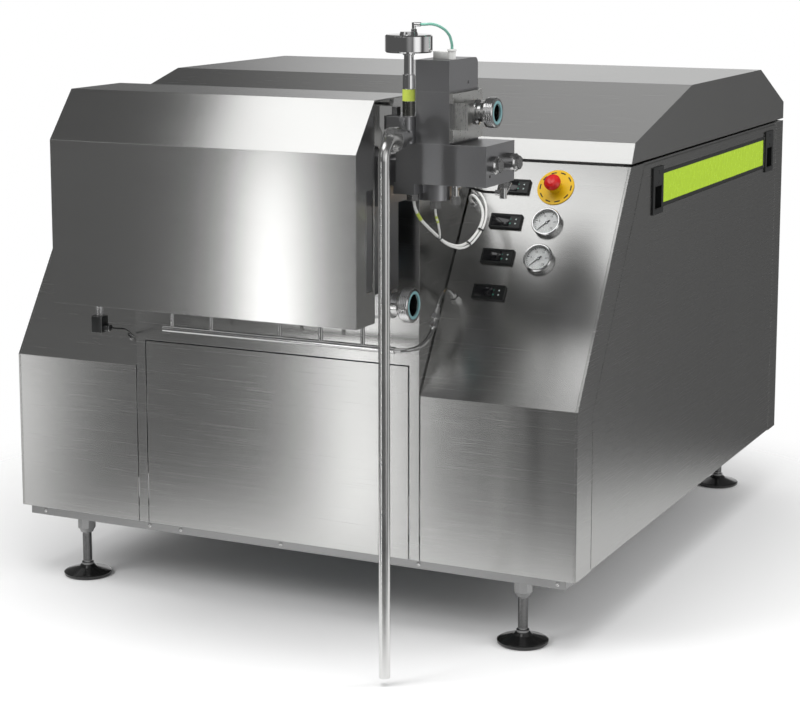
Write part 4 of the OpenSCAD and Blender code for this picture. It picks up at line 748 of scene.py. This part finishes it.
# pump sensor: black angled plug over the steel body, with a grooved outlet and a ridged nut
sensorPlug = {"x": -383, "y": -180, "middle": 709.5, "size": (29, 29, 39.8), "soft": 2.2,
              "nozzleAt": (-369, -180, 702),
              "nozzle": [(0, -2), (9.6, -2), (9.6, 9), (8.8, 9.75), (9.6, 10.5), (9.1, 15), (6.5, 17.5),
                         (3.4, 18.4), (0, 18.4)],
              "nutFrom": 731, "nutRidges": 8, "nutPitch": 2.4, "nutRadius": 9.0, "nutDeep": 0.9}


def makeSensorPlug():
    bm = bmesh.new()
    middle = cab(sensorPlug["x"], sensorPlug["y"], sensorPlug["middle"])
    slab(bm, Matrix.Translation(middle), sensorPlug["size"], sensorPlug["soft"])
    lathe(bm, along(cab(*sensorPlug["nozzleAt"]), (1, 0, 0)), sensorPlug["nozzle"], 40)
    makePiece("sensor_plug", bm, "blackPlastic")
    nut = bmesh.new()
    ridges(nut, upright(sensorPlug["x"], sensorPlug["y"]), sensorPlug["nutRadius"], sensorPlug["nutDeep"],
           sensorPlug["nutFrom"], sensorPlug["nutRidges"], sensorPlug["nutPitch"], 36)
    makePiece("sensor_nut", nut, "polishedSteel")


makeSensorPlug()

# cable dressing: black ties round both cables, and marker sleeves near their upper ends
cableTies = {"places": (((417, -11, 943), (5.5, 22, -14.5)), ((448.5, 79, 918), (8, 21.5, 7)),
                        ((459.5, 121, 945), (2, 20.5, 16))),
             "inner": (6.4, 4.0), "thick": 1.1, "wide": 3.2, "lock": (5, 3, 4.2), "lockSoft": 0.5}
markerSleeves = {"places": (((403.6, -90, 1000.5), (2, 18, -18), 3.5),
                            ((459.7, -117, 1001), (-3, 16, -15), 2.5)),
                 "proud": 0.5, "sunk": 0.4, "long": 24}


# plain ring of a given length, centred on the placing matrix
def band(bm, place, inner, outer, long, steps):
    lathe(bm, place, [(inner, -long / 2), (outer, -long / 2), (outer, long / 2), (inner, long / 2)], steps)


def makeCableDressing():
    ties = bmesh.new()
    across, deep = cableTies["inner"]
    oval = Matrix.Diagonal((across / deep, 1, 1, 1))
    for point, heading in cableTies["places"]:
        place = along(cab(*point), heading)
        band(ties, place @ oval, deep, deep + cableTies["thick"], cableTies["wide"], 32)
        slab(ties, shifted(place, y=deep + cableTies["thick"]), cableTies["lock"], cableTies["lockSoft"])
    makePiece("cable_ties", ties, "blackPlastic")
    sleeves = bmesh.new()
    for point, heading, radius in markerSleeves["places"]:
        inner, outer = radius - markerSleeves["sunk"], radius + markerSleeves["proud"]
        band(sleeves, along(cab(*point), heading), inner, outer, markerSleeves["long"], 24)
    makePiece("cable_markers", sleeves, "limeSleeve")


makeCableDressing()

# rear ventilation: a tilted blade behind each slot
louvre = {"columns": (-300, 300), "rows": 10, "firstZ": 350, "pitch": 34, "backY": 1643,
          "blade": (284, 17, 1.5), "soft": 0.3, "tilt": 38}


def makeLouvres():
    bm = bmesh.new()
    tilt = Matrix.Rotation(math.radians(louvre["tilt"]), 4, "X")
    for x in louvre["columns"]:
        for row in range(louvre["rows"]):
            middle = cab(x, louvre["backY"], louvre["firstZ"] + row * louvre["pitch"])
            slab(bm, Matrix.Translation(middle) @ tilt, louvre["blade"], louvre["soft"])
    makePiece("rear_louvres", bm, "doorSteel")


makeLouvres()

# small set screws in the valve blocks' right faces
setScrews = {"places": ((607, -170, 1107), (521, -90, 1300)),
             "head": [(0, 0.1), (1.4, 0.1), (1.4, 0.5), (3.4, 0.5), (3.4, -0.2), (0, -0.2)]}


def makeSetScrews():
    bm = bmesh.new()
    for place in setScrews["places"]:
        lathe(bm, along(cab(*place), (1, 0, 0)), setScrews["head"], 24)
    makePiece("valve_set_screws", bm, "footSteel")


makeSetScrews()
print("pieces made")

# studio: pale floor that fades out, area lamps, and a world that the metal mirrors
studio = {"floorRadius": 3.4, "floorSides": 96, "floorDrop": 0.0005, "floorTint": (0.93, 0.93, 0.93),
          "floorRough": 0.9, "floorGloss": 0.1, "fadeFrom": 1.0, "fadeTo": 1.75, "ambient": 0.6,
          "mirrorBase": 0.1}
mirrorLights = {
    "backdrop": {"aim": (-0.25, 0.95, 0.17), "from": 0.95, "to": 0.985, "gain": 0.65},
    "hoodLight": {"aim": (-0.32, 0.79, 0.52), "from": 0.975, "to": 0.998, "gain": 0.4},
    "rearLight": {"aim": (0.54, 0.84, -0.02), "from": 0.985, "to": 0.998, "gain": 0.5},
    "rearLeft": {"aim": (-0.55, 0.75, -0.35), "from": 0.85, "to": 0.97, "gain": 0.45},
    "rearRight": {"aim": (0.75, 0.55, -0.3), "from": 0.85, "to": 0.97, "gain": 0.45},
    "frontRight": {"aim": (0.45, -0.8, 0.38), "from": 0.85, "to": 0.97, "gain": 0.45},
    "foldLight": {"aim": (-0.5, -0.75, 0.38), "from": 0.97, "to": 0.99, "gain": 0.7},
    "edgeLight": {"aim": (0.9, -0.38, 0.1), "from": 0.9, "to": 0.99, "gain": 1.0},
}
# lamps with gloss show in the metal, the others give diffuse light only
lamps = {
    "keyLamp": {"place": (-2.6, -4.2, 3.4), "aim": (0, -0.3, 0.7), "size": (2.2, 2.2), "power": 95,
                "gloss": False},
    "topLamp": {"place": (0.4, -1.2, 4.2), "aim": (0, 0, 0.9), "size": (3.2, 2.6), "power": 95,
                "gloss": False},
    "sideLamp": {"place": (4.2, 1.2, 2.2), "aim": (0.5, 0, 0.7), "size": (1.6, 2.4), "power": 60,
                 "gloss": False},
    "softbox": {"place": (-0.07, -1.66, 2.55), "aim": (0, -1.5, 1.2), "size": (1.6, 0.9), "power": 7.6,
                "gloss": True},
    "stripLamp": {"place": (-0.98, -3.04, -0.1), "aim": (0.18, -0.9, 0.2), "size": (0.16, 2.1),
                  "power": 4.2, "gloss": True},
    "leftLamp": {"place": (-2.02, -2.3, 0.0), "aim": (-0.7, -0.66, 0.4), "size": (0.3, 0.9), "power": 1.3,
                 "gloss": True},
}


def makeFloor():
    bm = bmesh.new()
    bmesh.ops.create_circle(bm, cap_ends=True, segments=studio["floorSides"], radius=studio["floorRadius"])
    bmesh.ops.translate(bm, vec=(0, 0, -studio["floorDrop"]), verts=bm.verts)
    mesh = bpy.data.meshes.new("floor")
    bm.to_mesh(mesh)
    bm.free()
    floor = bpy.data.objects.new("floor", mesh)
    bpy.context.scene.collection.objects.link(floor)
    finish, tree, shader = newFinish("floorPaper")
    shader.inputs["Base Color"].default_value = (*studio["floorTint"], 1)
    shader.inputs["Roughness"].default_value = studio["floorRough"]
    shader.inputs["Specular IOR Level"].default_value = studio["floorGloss"]
    coords = addNode(tree, "ShaderNodeTexCoord")
    reach = addNode(tree, "ShaderNodeVectorMath", operation="LENGTH")
    clear = addNode(tree, "ShaderNodeBsdfTransparent")
    mix = addNode(tree, "ShaderNodeMixShader")
    tree.links.new(coords.outputs["Object"], reach.inputs[0])
    fade = ranged(tree, reach.outputs["Value"], studio["fadeFrom"], studio["fadeTo"])
    tree.links.new(fade, mix.inputs["Fac"])
    tree.links.new(shader.outputs["BSDF"], mix.inputs[1])
    tree.links.new(clear.outputs["BSDF"], mix.inputs[2])
    tree.links.new(mix.outputs["Shader"], tree.nodes["Material Output"].inputs["Surface"])
    mesh.materials.append(finish)


# white to the camera, even for diffuse light, and a set of soft lights where metal and glass mirror it
def makeWorld():
    world = bpy.data.worlds.new("studio")
    bpy.context.scene.world = world
    world.use_nodes = True
    world.cycles.sampling_method = "NONE"
    tree = world.node_tree
    coords = addNode(tree, "ShaderNodeTexCoord")
    mirrored = None
    for light in mirrorLights.values():
        facing = addNode(tree, "ShaderNodeVectorMath", operation="DOT_PRODUCT")
        facing.inputs[1].default_value = Vector(light["aim"]).normalized()
        total = addNode(tree, "ShaderNodeMath", operation="ADD")
        total.inputs[0].default_value = studio["mirrorBase"]
        tree.links.new(coords.outputs["Generated"], facing.inputs[0])
        glow = ranged(tree, facing.outputs["Value"], light["from"], light["to"], high=light["gain"])
        tree.links.new(glow, total.inputs[1])
        if mirrored:
            tree.links.new(mirrored, total.inputs[0])
        mirrored = total.outputs["Value"]
    rays = addNode(tree, "ShaderNodeLightPath")
    either = addNode(tree, "ShaderNodeMath", operation="MAXIMUM")
    tree.links.new(rays.outputs["Is Glossy Ray"], either.inputs[0])
    tree.links.new(rays.outputs["Is Transmission Ray"], either.inputs[1])
    onMetal = addNode(tree, "ShaderNodeMix", data_type="FLOAT")
    onMetal.inputs["A"].default_value = studio["ambient"]
    tree.links.new(either.outputs["Value"], onMetal.inputs["Factor"])
    tree.links.new(mirrored, onMetal.inputs["B"])
    seen = addNode(tree, "ShaderNodeMix", data_type="FLOAT")
    seen.inputs["B"].default_value = 1.0
    tree.links.new(rays.outputs["Is Camera Ray"], seen.inputs["Factor"])
    tree.links.new(onMetal.outputs["Result"], seen.inputs["A"])
    back = tree.nodes["Background"]
    back.inputs["Color"].default_value = (1, 1, 1, 1)
    tree.links.new(seen.outputs["Result"], back.inputs["Strength"])


def makeLamps():
    for name, lamp in lamps.items():
        light = bpy.data.lights.new(name, "AREA")
        light.shape = "RECTANGLE"
        light.size = lamp["size"][0]
        light.size_y = lamp["size"][1]
        light.energy = lamp["power"]
        holder = bpy.data.objects.new(name, light)
        bpy.context.scene.collection.objects.link(holder)
        aim = Vector(lamp["aim"]) - Vector(lamp["place"])
        turn = aim.to_track_quat("-Z", "Y").to_matrix().to_4x4()
        holder.matrix_world = Matrix.Translation(lamp["place"]) @ turn
        holder.visible_glossy = lamp["gloss"]
        holder.visible_camera = False


makeFloor()
makeWorld()
makeLamps()
bpy.context.scene.view_settings.view_transform = "Standard"
print("studio ready")
